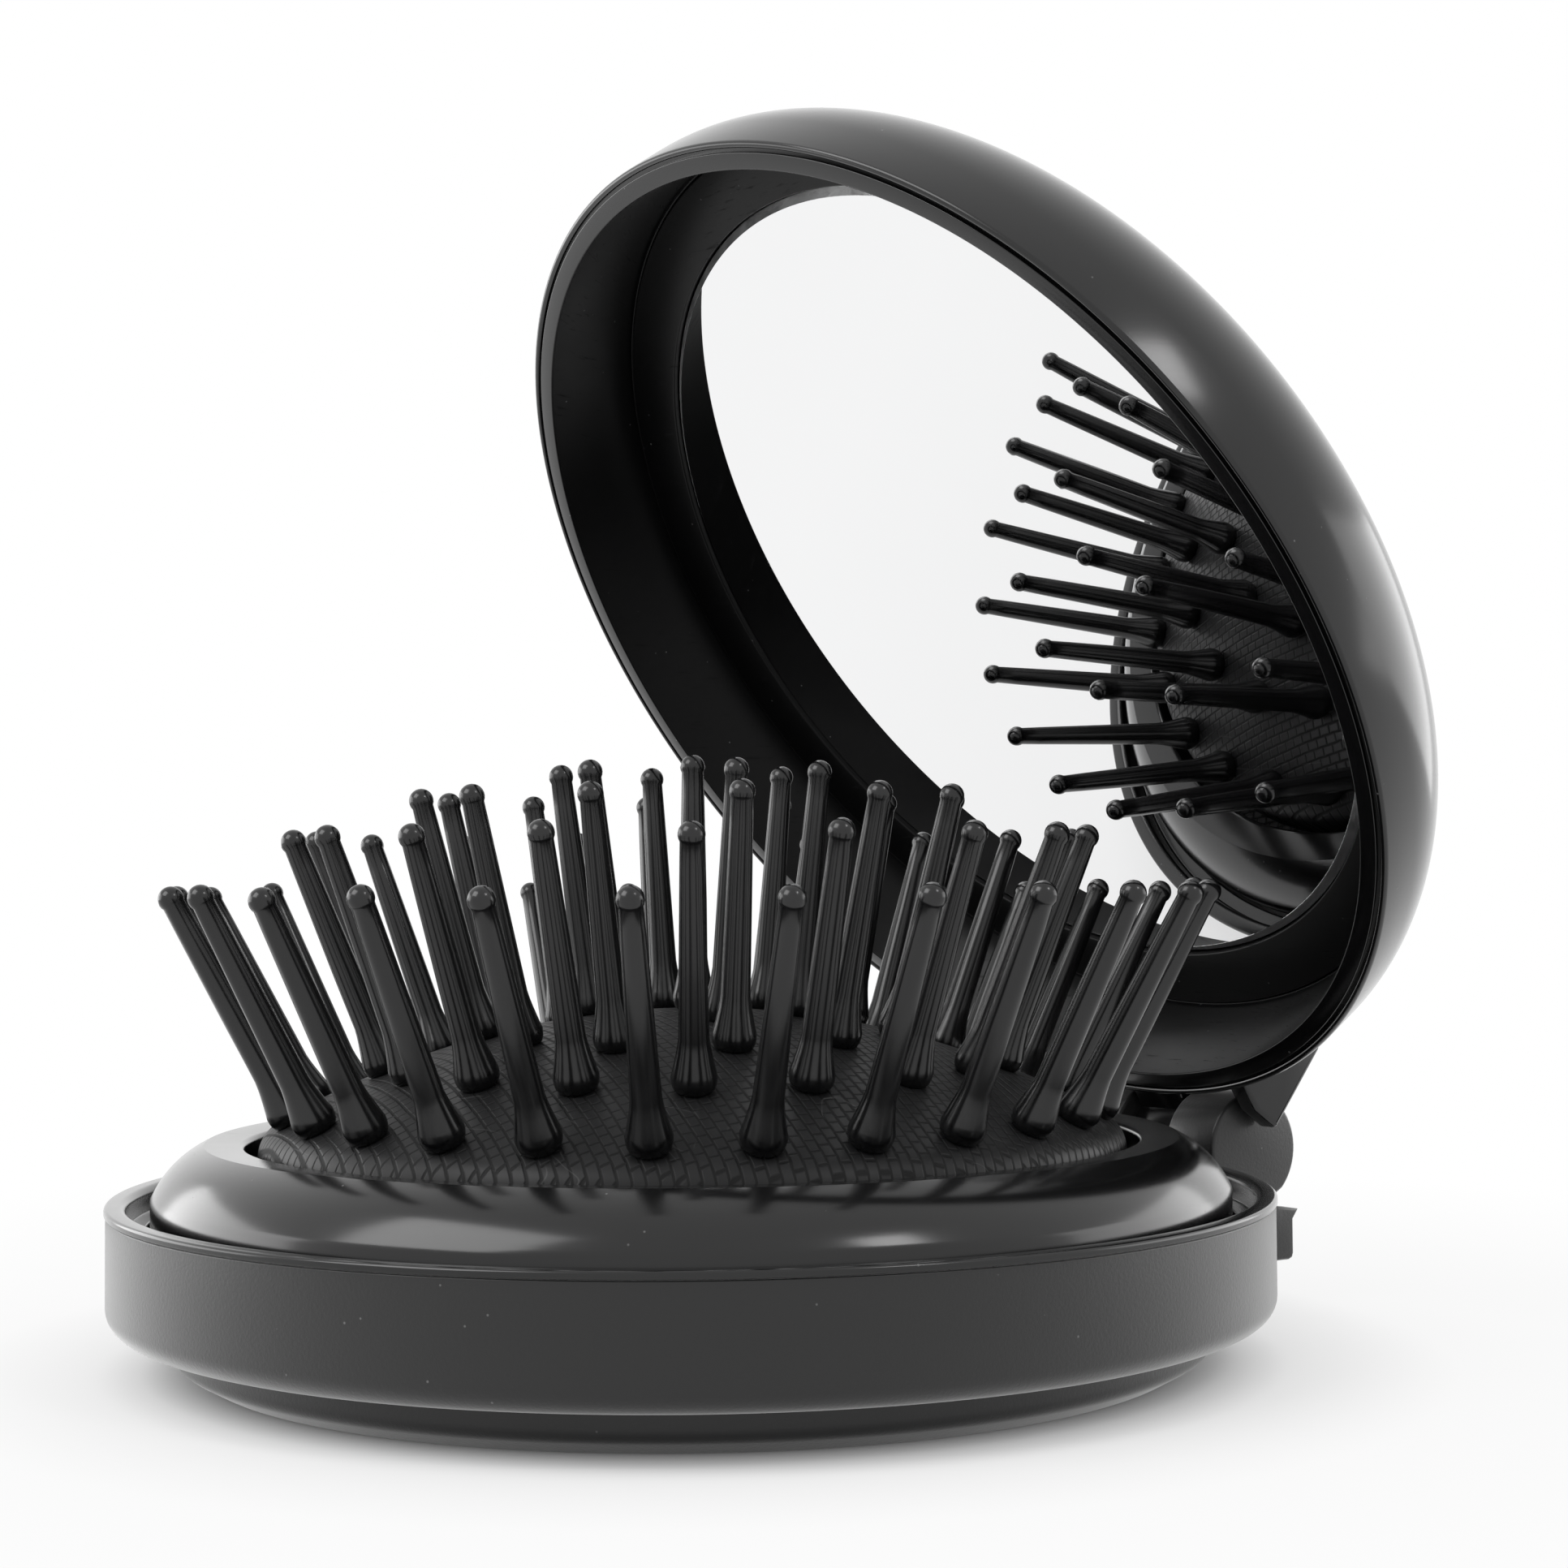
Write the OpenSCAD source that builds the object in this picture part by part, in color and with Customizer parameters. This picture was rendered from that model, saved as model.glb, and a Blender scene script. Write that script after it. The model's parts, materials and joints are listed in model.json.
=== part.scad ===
// Folding pop-up hairbrush with a mirror lid.
// Millimetres. Origin at the middle of the foot's flat underside, +Z up, hinge on the +Y side.
// The lid stands half open and the brush is popped up.

/* [Case ring] */
// Outer diameter of the case ring
case_d = 65; // [62:0.5:72]
// Wall thickness of the case ring
case_wall = 1.2; // [1.1:0.1:1.6]
// Height of the case ring's wall
case_h = 6.15; // [5.8:0.05:8]
// Radius of the case ring's lower edge
case_edge = 1.2; // [0.6:0.1:1.4]
// Thickness of the lip under the case ring
lip_t = 0.8; // [0.6:0.1:1]
// Height of the rounded bead over the parting line
bead_h = 0.45; // [0.3:0.05:0.6]
// How far the bead stands proud of the wall
bead_proud = 0.1; // [0:0.05:0.2]
// Thickness of the rim band's sleeve
sleeve_t = 0.8; // [0.7:0.05:1.2]
// Thickness of the rim band's floor behind the bead
band_t = 0.45; // [0.35:0.05:0.6]
// Wall left outside the rim band's floor
rabbet_wall = 0.5; // [0.4:0.05:0.7]
// Width of the rounded bead
bead_w = 1.2; // [1:0.1:1.5]
// Depth of the groove's floor under the parting line
groove_drop = 0.95; // [0.6:0.05:1.1]

/* [Drum] */
// Height of the foot cap under the case ring
foot_h = 2.5; // [2:0.1:4]
// How much narrower the foot cap is at the floor
foot_taper = 1.6; // [0.8:0.1:2.4]
// Height of the tapered edge of the foot cap
foot_edge_h = 0.9; // [0.5:0.1:1.4]
// Floor thickness of the foot cap
foot_floor = 1.4; // [1:0.1:1.8]
// Wall thickness of the foot cap's spigot
spigot_t = 1.1; // [0.9:0.1:1.5]
// Wall thickness of the drum
drum_wall = 1.6; // [1.4:0.1:2]
// Width of the step from the drum up to the collar
flange_step = 1.65; // [1.2:0.05:2]
// How far the case ring rises on the drum as the lid shuts
pop_travel = 4.4; // [3:0.1:4.6]

/* [Collar] */
// Height of the collar's upright base
collar_base_h = 1.3; // [0.8:0.1:1.8]
// Height of the collar's sloping face
collar_slope_h = 2.85; // [2.2:0.05:3.2]
// Width of the collar's sloping face
collar_slope_w = 2.85; // [2:0.05:3.2]
// How far the sloping face rounds out from straight
slope_bulge = 0.38; // [0.1:0.02:0.5]
// Width of the collar's top
collar_land = 2.2; // [1.8:0.1:3]
// How much the flat top falls towards the pad
land_fall = 0.1; // [0:0.05:0.3]
// Thickness of the collar's skirt
skirt_t = 0.8; // [0.6:0.1:1]
// Length of the collar's skirt inside the drum
skirt_h = 2.6; // [2:0.1:3]

/* [Cushion pad] */
// Radius of curvature of the domed pad
dome_r = 47.8; // [42:0.2:60]
// Height of the pad's middle over the collar
pad_rise = 7.05; // [5:0.05:7.6]
// Radius of the pad's rounded edge
pad_edge_r = 2; // [1.6:0.1:2.6]
// Thickness of the pad's rubber
pad_t = 1.2; // [0.9:0.1:1.3]
// Thickness of the pad's clamped flange
pad_flange_t = 1.1; // [0.8:0.1:1.4]
// Height of the clamp ring under the pad's flange
clamp_h = 1.4; // [1:0.1:1.8]

/* [Bristles] */
// Distance from the pad's edge to the outer row
row_edge = 1.8; // [1.7:0.05:2.4]
// Distance from the outer row to the second
row_pitch_1 = 5.3; // [4.8:0.1:6]
// Distance from the second row to the third
row_pitch_2 = 5.3; // [4.8:0.1:5.8]
// Distance from the third row to the fourth
row_pitch_3 = 6; // [5:0.1:6.4]
// Bristles in the outer row
row_n_1 = 26; // [20:1:28]
// Bristles in the second row
row_n_2 = 18; // [14:1:20]
// Bristles in the third row
row_n_3 = 12; // [8:1:13]
// Bristles in the fourth row
row_n_4 = 6; // [4:1:7]
// Length of a bristle from the pad to the middle of its ball
bristle_l = 13.8; // [10:0.1:14]
// Diameter of the ball tip
ball_d = 1.4; // [1.1:0.1:1.8]
// Diameter of a bristle under its ball
stem_tip_d = 1.2; // [0.8:0.05:1.3]
// Diameter of a bristle over its flared foot
stem_d = 1.6; // [1.3:0.1:1.8]
// Diameter of the flared foot
flare_d = 2.4; // [2:0.1:2.8]
// Height of the flared foot
flare_h = 2.3; // [1.6:0.1:3]
// Diameter of the shank in the pad
shank_d = 1.5; // [1.1:0.1:1.6]
// Diameter of the head under the pad
head_d = 2.1; // [1.9:0.1:2.2]
// Thickness of the head under the pad
head_t = 0.5; // [0.4:0.1:0.8]

/* [Hinge] */
// Distance from the case ring's wall to the hinge axis
hinge_out = 4.8; // [4.7:0.1:5.6]
// Height of the hinge axis over the lid's rim
hinge_up = 0.15; // [0:0.05:0.4]
// Diameter of the hinge pin
pin_d = 2.2; // [1.8:0.1:2.6]
// Diameter of the rounded ears on the case ring
ear_d = 7.2; // [6.4:0.1:7.4]
// Width of each ear
ear_w = 4.3; // [3:0.1:5]
// Width of the lid's middle knuckle
knuckle_w = 4.4; // [3.4:0.1:6]
// Diameter of the lid's middle knuckle
knuckle_d = 6.4; // [5.6:0.1:7]
// Side gap between moving hinge pieces
hinge_gap = 0.2; // [0.15:0.05:0.3]
// Width of the lid's gussets beside the ears
gusset_w = 1.6; // [1.2:0.1:2.2]
// Height of the lid's gussets
gusset_h = 6; // [5:0.1:6.4]
// Height of the web behind the knuckle
web_h = 7; // [5:0.1:7.4]
// Height of the stop lugs on the case ring
lug_h = 3.2; // [2.4:0.1:3.4]
// Angle from the lid shut to the lid as it stands
rest_angle = 55.7; // [30:0.1:80]
// Angle from the lid shut to the lid fully open
open_angle = 175; // [160:1:176]

/* [Lid] */
// How far the lid's rim overhangs the case ring
lid_over = 0.9; // [0.8:0.1:1.2]
// Width of the lid's flat rim
rim_w = 1.7; // [1.5:0.1:2.2]
// Thickness of the lid's back behind the mirror
lid_back_t = 2; // [1.6:0.1:3]
// Radius of the lid's outer shoulder
lid_shoulder = 7.8; // [7:0.1:8]
// How much the lid's back domes over its shoulder
lid_dome = 0.7; // [0.4:0.1:1.2]
// Depth from the rim to the mirror bezel
lid_depth = 7; // [6:0.1:7.2]
// Draft of the lid's inner wall
lid_draft = 0.4; // [0.2:0.1:0.6]
// Depth of the fine groove round the rim
groove_depth = 0.3; // [0.2:0.05:0.4]
// Width of the fine groove round the rim
groove_w = 0.2; // [0.15:0.05:0.3]
// Width of the rounded bead outside the groove
rim_bead_w = 0.45; // [0.3:0.05:0.6]

/* [Mirror] */
// Width of the bezel round the mirror
bezel_w = 3.7; // [3:0.1:5]
// Thickness of the mirror glass
mirror_t = 1.6; // [1.4:0.1:1.8]
// Width of the bevel round the mirror
bevel_w = 0.5; // [0.3:0.1:1]
// Thickness of the foam behind the mirror
foam_t = 0.4; // [0.3:0.1:0.6]
// Thickness of the bezel round the mirror
bezel_t = 0.9; // [0.7:0.1:1]

/* [Fits] */
// Gap between sliding round pieces
slide_gap = 0.25; // [0.2:0.05:0.3]
// Gap between pieces fixed together
fit_gap = 0.1; // [0.05:0.05:0.15]
// Gap between pieces that close on each other
rest_gap = 0.1; // [0.05:0.05:0.2]
// Gap round a bristle's shank in the pad
shank_gap = 0.05; // [0.02:0.01:0.1]
// Gap between the pin and the bores it turns in
pin_gap = 0.05; // [0.02:0.01:0.1]
// Gap between the pad's edge and the collar
pad_gap = 0.7; // [0.4:0.05:0.8]

/* [Hidden] */

ROUND = 96;         // facets that OpenSCAD shows on the large round pieces
FINE = 24;          // the same on pins and bristles
EPS = 0.01;         // overlap that joins two solids into one
ROOT = 1;           // how far ears and lugs reach into the wall they grow from
LID_ROOT = 3;       // the same on the lid, past its rounded shoulder
drum_rim_t = 0.9;   // drum wall left outside the collar's skirt
ledge_rise = 0.2;   // how far the ledge over the pad's flange lies above the collar's base

BLACK = [0.06, 0.06, 0.065];
RUBBER = [0.11, 0.11, 0.115];
STEEL = [0.62, 0.62, 0.64];
SILVER = [0.85, 0.87, 0.9];
FOAM = [0.8, 0.8, 0.78];

// Case ring and rim band, from the outside in
case_r = case_d / 2;
case_in = case_r - case_wall;
case_z = foot_h + rest_gap;
parting_z = case_z + case_h;
sleeve_out = case_in - fit_gap;
sleeve_in = sleeve_out - sleeve_t;
bead_top = parting_z + bead_h;
band_z = parting_z - groove_drop - band_t;
band_r = case_r - rabbet_wall - fit_gap;
bead_out = case_r + bead_proud;

// Drum and collar
collar_r = sleeve_in - slide_gap;
drum_r = collar_r - flange_step;
drum_in = drum_r - drum_wall;
lip_in = drum_r + slide_gap;
foot_r = lip_in + slide_gap;
collar_z = case_z + lip_t + pop_travel + rest_gap + fit_gap * 2;
slope_z = collar_z + collar_base_h;
collar_top_z = slope_z + collar_slope_h;
collar_top_r = collar_r - collar_slope_w;
mouth_r = collar_top_r - collar_land;
slope_chord = norm([collar_slope_w, collar_slope_h]);
slope_round_r = (slope_chord * slope_chord / 4 + slope_bulge * slope_bulge) / (2 * slope_bulge);

// Pad, its flange and what clamps it
pad_r = mouth_r - pad_gap;
dome_z = collar_top_z + pad_rise - dome_r;
edge_axis_r = pad_r - pad_edge_r;
edge_axis_z = dome_z + sqrt(pow(dome_r - pad_edge_r, 2) - edge_axis_r * edge_axis_r);
ledge_z = slope_z + ledge_rise;
flange_z = ledge_z - fit_gap / 2 - pad_flange_t;
skirt_out = drum_r - drum_rim_t - fit_gap;
skirt_in = skirt_out - skirt_t;
flange_r = skirt_in - fit_gap * 2;
clamp_z = flange_z - fit_gap / 2 - clamp_h;
spigot_r = min(skirt_in, drum_in) - fit_gap * 2;

// Bristle rows: radius on the dome, how many, and where the first one stands
row_r = [pad_r - row_edge,
    pad_r - row_edge - row_pitch_1,
    pad_r - row_edge - row_pitch_1 - row_pitch_2,
    pad_r - row_edge - row_pitch_1 - row_pitch_2 - row_pitch_3];
row_n = [row_n_1, row_n_2, row_n_3, row_n_4];
row_start = [-37.9, -32.4, -22.4, -16.4];

// Lid as it lies shut
lid_z = bead_top + rest_gap;
lid_r = case_r + lid_over;
lid_in = lid_r - rim_w;
bezel_z = lid_z + lid_depth;
bezel_r = lid_in - lid_draft - fit_gap * 2;
bezel_in = bezel_r - bezel_w;
mirror_r = bezel_in - fit_gap;
mirror_z = bezel_z + fit_gap;
pocket_r = bezel_in + fit_gap;
pocket_z = mirror_z + mirror_t + foam_t + fit_gap / 2;
back_z = pocket_z + lid_back_t;
shoulder_z = back_z - lid_dome - lid_shoulder;
shoulder_r = lid_r - lid_shoulder;
back_r = (shoulder_r * shoulder_r / lid_dome + 2 * lid_shoulder + lid_dome) / 2;

// Hinge
hinge_y = case_r + hinge_out;
hinge_z = lid_z + hinge_up;
ear_x = knuckle_w / 2 + hinge_gap;
gusset_x = ear_x + ear_w + hinge_gap;
pin_l = 2 * (ear_x + ear_w - fit_gap);
bore_l = 2 * (gusset_x + gusset_w + fit_gap);
gusset_foot = [hinge_y - 1, lid_z + 1.15];
gusset_head = [hinge_y - 2.8, gusset_foot[1] + gusset_h];

// A point of the lid's side view turned open about the hinge axis
function opened(p, angle) = [
    hinge_y + (p[0] - hinge_y) * cos(angle) + (p[1] - hinge_z) * sin(angle),
    hinge_z - (p[0] - hinge_y) * sin(angle) + (p[1] - hinge_z) * cos(angle)];

// Where the open gusset's outer face passes a height
stop_foot = opened(gusset_foot, open_angle);
stop_head = opened(gusset_head, open_angle);
function stop_y(z) = stop_foot[0] + (stop_head[0] - stop_foot[0]) * (stop_foot[1] - z)
    / (stop_foot[1] - stop_head[1]);

// A solid of revolution from its half section
module turned(facets = ROUND) rotate_extrude($fn = facets) children();

// A side view, y across and z up, made w thick from x
module side(x, w) translate([x, 0, 0]) rotate([90, 0, 90]) linear_extrude(w) children();

// The same on both sides of the hinge's middle
module pair_of_sides(x, w) {
    side(x, w) children();
    side(-x - w, w) children();
}

// Everything on the lid, turned to where it stands
module as_opened() translate([0, hinge_y, hinge_z]) rotate([-rest_angle, 0, 0])
    translate([0, -hinge_y, -hinge_z]) children();

// Round bar along the hinge axis
module bar_x(d, l) translate([-l / 2, hinge_y, hinge_z]) rotate([0, 90, 0])
    cylinder(d = d, h = l, $fn = ROUND);

// --- Drum ---

module foot_cap() color(BLACK) turned() difference() {
    union() {
        polygon([[0, 0], [foot_r - foot_taper, 0], [foot_r, foot_edge_h], [foot_r, foot_h], [0, foot_h]]);
        square([spigot_r, clamp_z - fit_gap / 2]);
    }
    translate([0, foot_floor]) square([spigot_r - spigot_t, clamp_z]);
}

module drum_shell() color(BLACK) turned() difference() {
    translate([drum_in, foot_h + fit_gap / 2])
        square([drum_r - drum_in, collar_z - foot_h - fit_gap]);
    translate([0, collar_z - skirt_h - fit_gap]) square([skirt_out + fit_gap, skirt_h + 1]);
}

module clamp_ring() color(BLACK) turned()
    translate([pad_r - pad_t - fit_gap, clamp_z]) square([flange_r - pad_r + pad_t + fit_gap, clamp_h]);

// Circle whose arc is the collar's rounded slope
module slope_round() {
    back = (slope_round_r - slope_bulge) / slope_chord;
    translate([(collar_r + collar_top_r) / 2 - back * collar_slope_h,
        (slope_z + collar_top_z) / 2 - back * collar_slope_w]) circle(slope_round_r, $fn = 192);
}

module collar() color(BLACK) turned() difference() {
    union() {
        translate([mouth_r, collar_z]) square([collar_r - mouth_r, collar_base_h]);
        intersection() {
            slope_round();
            polygon([[mouth_r, slope_z - EPS], [collar_r, slope_z - EPS], [collar_r, collar_top_z],
                [collar_top_r, collar_top_z], [mouth_r, collar_top_z - land_fall]]);
        }
        translate([skirt_in, collar_z - skirt_h]) square([skirt_t, skirt_h + 1]);
    }
    translate([0, collar_z - skirt_h - 1]) square([skirt_in, ledge_z - collar_z + skirt_h + 1]);
}

// --- Pad and bristles ---

// Half section under the dome, its rounded edge and its upright side, each set in by some depth
module under_dome(depth) {
    top = dome_r + ROOT;
    intersection() {
        translate([0, dome_z]) circle(dome_r - depth, $fn = 240);
        polygon([[0, dome_z], [top * edge_axis_r / (edge_axis_z - dome_z), dome_z + top],
            [0, dome_z + top]]);
    }
    translate([edge_axis_r, edge_axis_z]) circle(pad_edge_r - depth, $fn = 96);
    translate([0, dome_z]) square([pad_r - depth, edge_axis_z - dome_z]);
}

module cushion_pad() color(RUBBER) difference() {
    turned() {
        intersection() {
            difference() {
                under_dome(0);
                under_dome(pad_t);
            }
            translate([0, flange_z]) square([pad_r, dome_r]);
        }
        translate([pad_r - pad_t, flange_z]) square([flange_r - pad_r + pad_t, pad_flange_t]);
    }
    for (row = [0:3]) on_row(row) shank_hole();
    shank_hole_centre();
}

// Places a bristle on the dome, standing square to it
module on_dome(r, angle) translate([0, 0, dome_z]) rotate([0, asin(r / dome_r), angle])
    translate([0, 0, dome_r]) children();

module on_row(row) for (i = [0:row_n[row] - 1])
    on_dome(row_r[row], row_start[row] + i * 360 / row_n[row]) children();

module shank_hole() translate([0, 0, -pad_t - 0.5])
    cylinder(d = shank_d + 2 * shank_gap, h = pad_t + 1, $fn = FINE);

module shank_hole_centre() on_dome(0, 0) shank_hole();

// One bristle: head under the pad, shank, flared foot, tapering stem and ball tip
module bristle() {
    under = -pad_t - shank_gap;
    turned(FINE) {
        polygon([[0, under - head_t], [head_d / 2, under - head_t], [head_d / 2, under],
            [shank_d / 2, under], [shank_d / 2, 0], [flare_d * 0.4, 0], [flare_d * 0.48, flare_h * 0.13],
            [flare_d / 2, flare_h * 0.32], [(flare_d + stem_d) / 4, flare_h * 0.62],
            [stem_d / 2, flare_h], [stem_tip_d / 2, bristle_l], [0, bristle_l]]);
        intersection() {
            translate([0, bristle_l]) circle(d = ball_d, $fn = FINE);
            translate([0, bristle_l - ball_d]) square([ball_d, 2 * ball_d]);
        }
    }
}

module bristles_row_1() color(BLACK) on_row(0) bristle();
module bristles_row_2() color(BLACK) on_row(1) bristle();
module bristles_row_3() color(BLACK) on_row(2) bristle();
module bristles_row_4() color(BLACK) on_row(3) bristle();
module bristle_centre() color(BLACK) on_dome(0, 0) bristle();

// --- Case ring ---

module case_ring() color(BLACK) difference() {
    union() {
        turned() case_section();
        pair_of_sides(ear_x, ear_w) ear_profile();
        pair_of_sides(gusset_x - hinge_gap / 2, gusset_w + hinge_gap) lug_profile();
    }
    translate([0, 0, case_z + lip_t]) cylinder(r = case_in, h = case_h, $fn = ROUND);
    translate([0, 0, band_z - fit_gap / 2]) cylinder(r = band_r + fit_gap, h = case_h, $fn = ROUND);
    bar_x(pin_d + 2 * pin_gap, bore_l);
}

// Half section of the wall, its rounded lower edge and the lip that rides on the drum
module case_section() {
    translate([lip_in, case_z]) square([case_r - case_edge - lip_in, lip_t]);
    translate([case_in, case_z + case_edge]) square([case_wall, case_h - case_edge]);
    intersection() {
        union() {
            translate([case_r - case_edge, case_z + case_edge]) circle(case_edge, $fn = 48);
            translate([case_in - EPS, case_z]) square([case_wall - case_edge + EPS, case_edge]);
        }
        translate([0, case_z]) square([case_r, case_edge + EPS]);
    }
}

// Round ear on a web that runs down into the wall
module ear_profile() {
    translate([hinge_y, hinge_z]) circle(d = ear_d, $fn = ROUND);
    web_z = parting_z - fit_gap / 2;
    polygon([[case_in - ROOT, case_z + 1], [case_r + 1.5, case_z + 1],
        [hinge_y + ear_d * 0.34, hinge_z - ear_d * 0.36], [hinge_y, hinge_z],
        [hinge_y - ear_d * 0.42, hinge_z - ear_d * 0.26], [hinge_y - ear_d * 0.42, web_z],
        [case_in - ROOT, web_z]]);
}

// Lug with a pointed lip that the open lid's gusset comes to rest on
module lug_profile() {
    lug_top = case_z + lug_h;
    lip_y = stop_y(lug_top) - rest_gap * 2;
    polygon([[case_in - ROOT, case_z + 0.1], [lip_y - 0.9, case_z + 0.1], [lip_y - 0.5, case_z + 0.5],
        [lip_y - 0.5, lug_top - 0.6], [lip_y, lug_top], [lip_y - 2, lug_top + 0.3],
        [case_in - ROOT, lug_top + 0.3]]);
}

// Rounded bead over the parting line, on a stepped floor and a sleeve inside the case ring's wall
module rim_band() color(BLACK) turned() {
    round_r = bead_h + fit_gap / 2;
    post_in = bead_out - bead_w + 0.1;
    translate([sleeve_in, case_z + lip_t + fit_gap])
        square([sleeve_t, band_z + band_t - case_z - lip_t - fit_gap]);
    translate([sleeve_in, band_z]) square([band_r - sleeve_in, band_t]);
    translate([post_in, band_z]) square([band_r - post_in, parting_z + bead_h / 2 - band_z]);
    intersection() {
        translate([bead_out - bead_w, parting_z + fit_gap / 2]) square([bead_w, bead_h]);
        union() {
            translate([bead_out - round_r, bead_top - round_r]) circle(round_r, $fn = 48);
            translate([bead_out - bead_w + round_r, bead_top - round_r]) circle(round_r, $fn = 48);
            translate([bead_out - bead_w + round_r, parting_z]) square([bead_w - 2 * round_r, bead_h]);
        }
    }
}

// --- Lid ---

module lid_outline() intersection() {
    union() {
        translate([0, lid_z]) square([lid_r, shoulder_z - lid_z]);
        translate([shoulder_r, shoulder_z]) circle(lid_shoulder, $fn = 192);
        translate([0, lid_z]) square([shoulder_r, back_z - lid_z]);
    }
    translate([0, lid_z]) square([lid_r, back_z - lid_z]);
    translate([0, back_z - back_r]) circle(back_r, $fn = 1440);
}

// Half section of what the lid is hollowed by: inner wall, bezel seat and mirror pocket
module lid_hollow() {
    polygon([[0, lid_z - 1], [lid_in, lid_z - 1], [lid_in, lid_z], [lid_in - lid_draft, bezel_z],
        [0, bezel_z]]);
    polygon([[0, bezel_z - EPS], [bezel_r + fit_gap, bezel_z - EPS], [bezel_r + fit_gap, bezel_z + 0.15],
        [bezel_r - 0.7, bezel_z + bezel_t + fit_gap], [0, bezel_z + bezel_t + fit_gap]]);
    translate([0, bezel_z]) square([pocket_r, pocket_z - bezel_z]);
}

// Half section of the fine groove in the rim and the corners that round the bead outside it
module rim_groove() {
    translate([lid_r - rim_bead_w - groove_w, lid_z - 1]) square([groove_w, 1 + groove_depth]);
    difference() {
        translate([lid_r - rim_bead_w, lid_z - 1]) square([rim_bead_w + 1, 1 + rim_bead_w / 2]);
        translate([lid_r - rim_bead_w / 2, lid_z + rim_bead_w / 2]) circle(d = rim_bead_w, $fn = 48);
    }
}

module lid_shell() color(BLACK) as_opened() difference() {
    union() {
        turned() difference() {
            lid_outline();
            rim_groove();
        }
        side(-knuckle_w / 2, knuckle_w) knuckle_profile();
        pair_of_sides(gusset_x, gusset_w) gusset_profile();
    }
    turned() lid_hollow();
    bar_x(pin_d + 2 * pin_gap, bore_l);
}

// Middle knuckle on a web that runs up the lid's side
module knuckle_profile() {
    translate([hinge_y, hinge_z]) circle(d = knuckle_d, $fn = ROUND);
    polygon([[lid_in - LID_ROOT, lid_z + 0.4], [hinge_y - knuckle_d * 0.3, lid_z + 0.1], [hinge_y, hinge_z],
        [hinge_y + knuckle_d * 0.3, hinge_z + knuckle_d * 0.4], [lid_r - 0.4, lid_z + web_h],
        [lid_in - LID_ROOT, lid_z + web_h]]);
}

// Gusset beside the ears, whose outer face stops the lid
module gusset_profile() polygon([[lid_in - LID_ROOT, lid_z + 0.4], [lid_r + 0.9, lid_z + 0.4], gusset_foot,
    gusset_head, [gusset_head[0] - 0.6, gusset_head[1] + 0.4], [lid_in - LID_ROOT, gusset_head[1] + 0.4]]);

module mirror_bezel() color(BLACK) as_opened() turned()
    polygon([[bezel_in, bezel_z + 0.05], [bezel_r, bezel_z - 0.15], [bezel_r, bezel_z + 0.1],
        [bezel_r - 0.75, bezel_z + bezel_t], [bezel_in, bezel_z + bezel_t]]);

module mirror_glass() color(SILVER) as_opened() turned()
    polygon([[0, mirror_z], [mirror_r - bevel_w, mirror_z], [mirror_r, mirror_z + bevel_w * 0.7],
        [mirror_r, mirror_z + mirror_t], [0, mirror_z + mirror_t]]);

module mirror_foam() color(FOAM) as_opened() translate([0, 0, mirror_z + mirror_t])
    cylinder(r = mirror_r - 1, h = foam_t, $fn = ROUND);

module hinge_pin() color(STEEL) bar_x(pin_d, pin_l);

foot_cap();
drum_shell();
clamp_ring();
collar();
cushion_pad();
bristles_row_1();
bristles_row_2();
bristles_row_3();
bristles_row_4();
bristle_centre();
case_ring();
rim_band();
hinge_pin();
lid_shell();
mirror_bezel();
mirror_glass();
mirror_foam();
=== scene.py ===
"""Folding pop-up hairbrush with a mirror lid: finishes, soft pad, bristles and a plain studio stage."""
import json
import math

import bmesh
import bpy
from mathutils import Matrix, Vector


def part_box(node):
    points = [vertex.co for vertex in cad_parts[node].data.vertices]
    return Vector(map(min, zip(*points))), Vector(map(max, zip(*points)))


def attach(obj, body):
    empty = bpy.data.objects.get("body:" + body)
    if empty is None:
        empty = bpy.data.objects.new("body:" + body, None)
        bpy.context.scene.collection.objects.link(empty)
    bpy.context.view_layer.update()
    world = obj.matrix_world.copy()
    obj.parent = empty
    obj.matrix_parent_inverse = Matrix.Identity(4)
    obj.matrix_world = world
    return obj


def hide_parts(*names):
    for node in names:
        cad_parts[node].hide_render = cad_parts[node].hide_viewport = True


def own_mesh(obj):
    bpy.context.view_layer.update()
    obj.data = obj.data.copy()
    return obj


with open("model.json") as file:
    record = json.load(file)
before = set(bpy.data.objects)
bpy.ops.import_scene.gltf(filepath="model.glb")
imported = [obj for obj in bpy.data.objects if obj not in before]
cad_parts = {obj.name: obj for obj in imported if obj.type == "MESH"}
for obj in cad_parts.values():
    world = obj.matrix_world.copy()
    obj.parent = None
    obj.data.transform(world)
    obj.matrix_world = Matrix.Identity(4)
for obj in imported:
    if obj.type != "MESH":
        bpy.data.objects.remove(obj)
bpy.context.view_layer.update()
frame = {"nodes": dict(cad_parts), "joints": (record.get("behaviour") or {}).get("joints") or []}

bl_info = {
    "name": "Folding hairbrush",
    "version": (1, 0, 0),
    "blender": (4, 5, 0),
    "location": "View3D > Sidebar > Hairbrush",
    "description": "Builds a folding pop-up hairbrush with a mirror lid on its construction frame",
    "category": "Object",
}

MM = 0.001
TURN = 2 * math.pi
JOINTS = {joint["name"]: joint for joint in frame["joints"]}
HINGE = Vector(JOINTS["lid_swing"]["pos_m"])
SWING = JOINTS["lid_swing"]["range_deg"]
REST_ANGLE = math.radians(-SWING[0])
OPEN_ANGLE = math.radians(SWING[1] - SWING[0])

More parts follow.
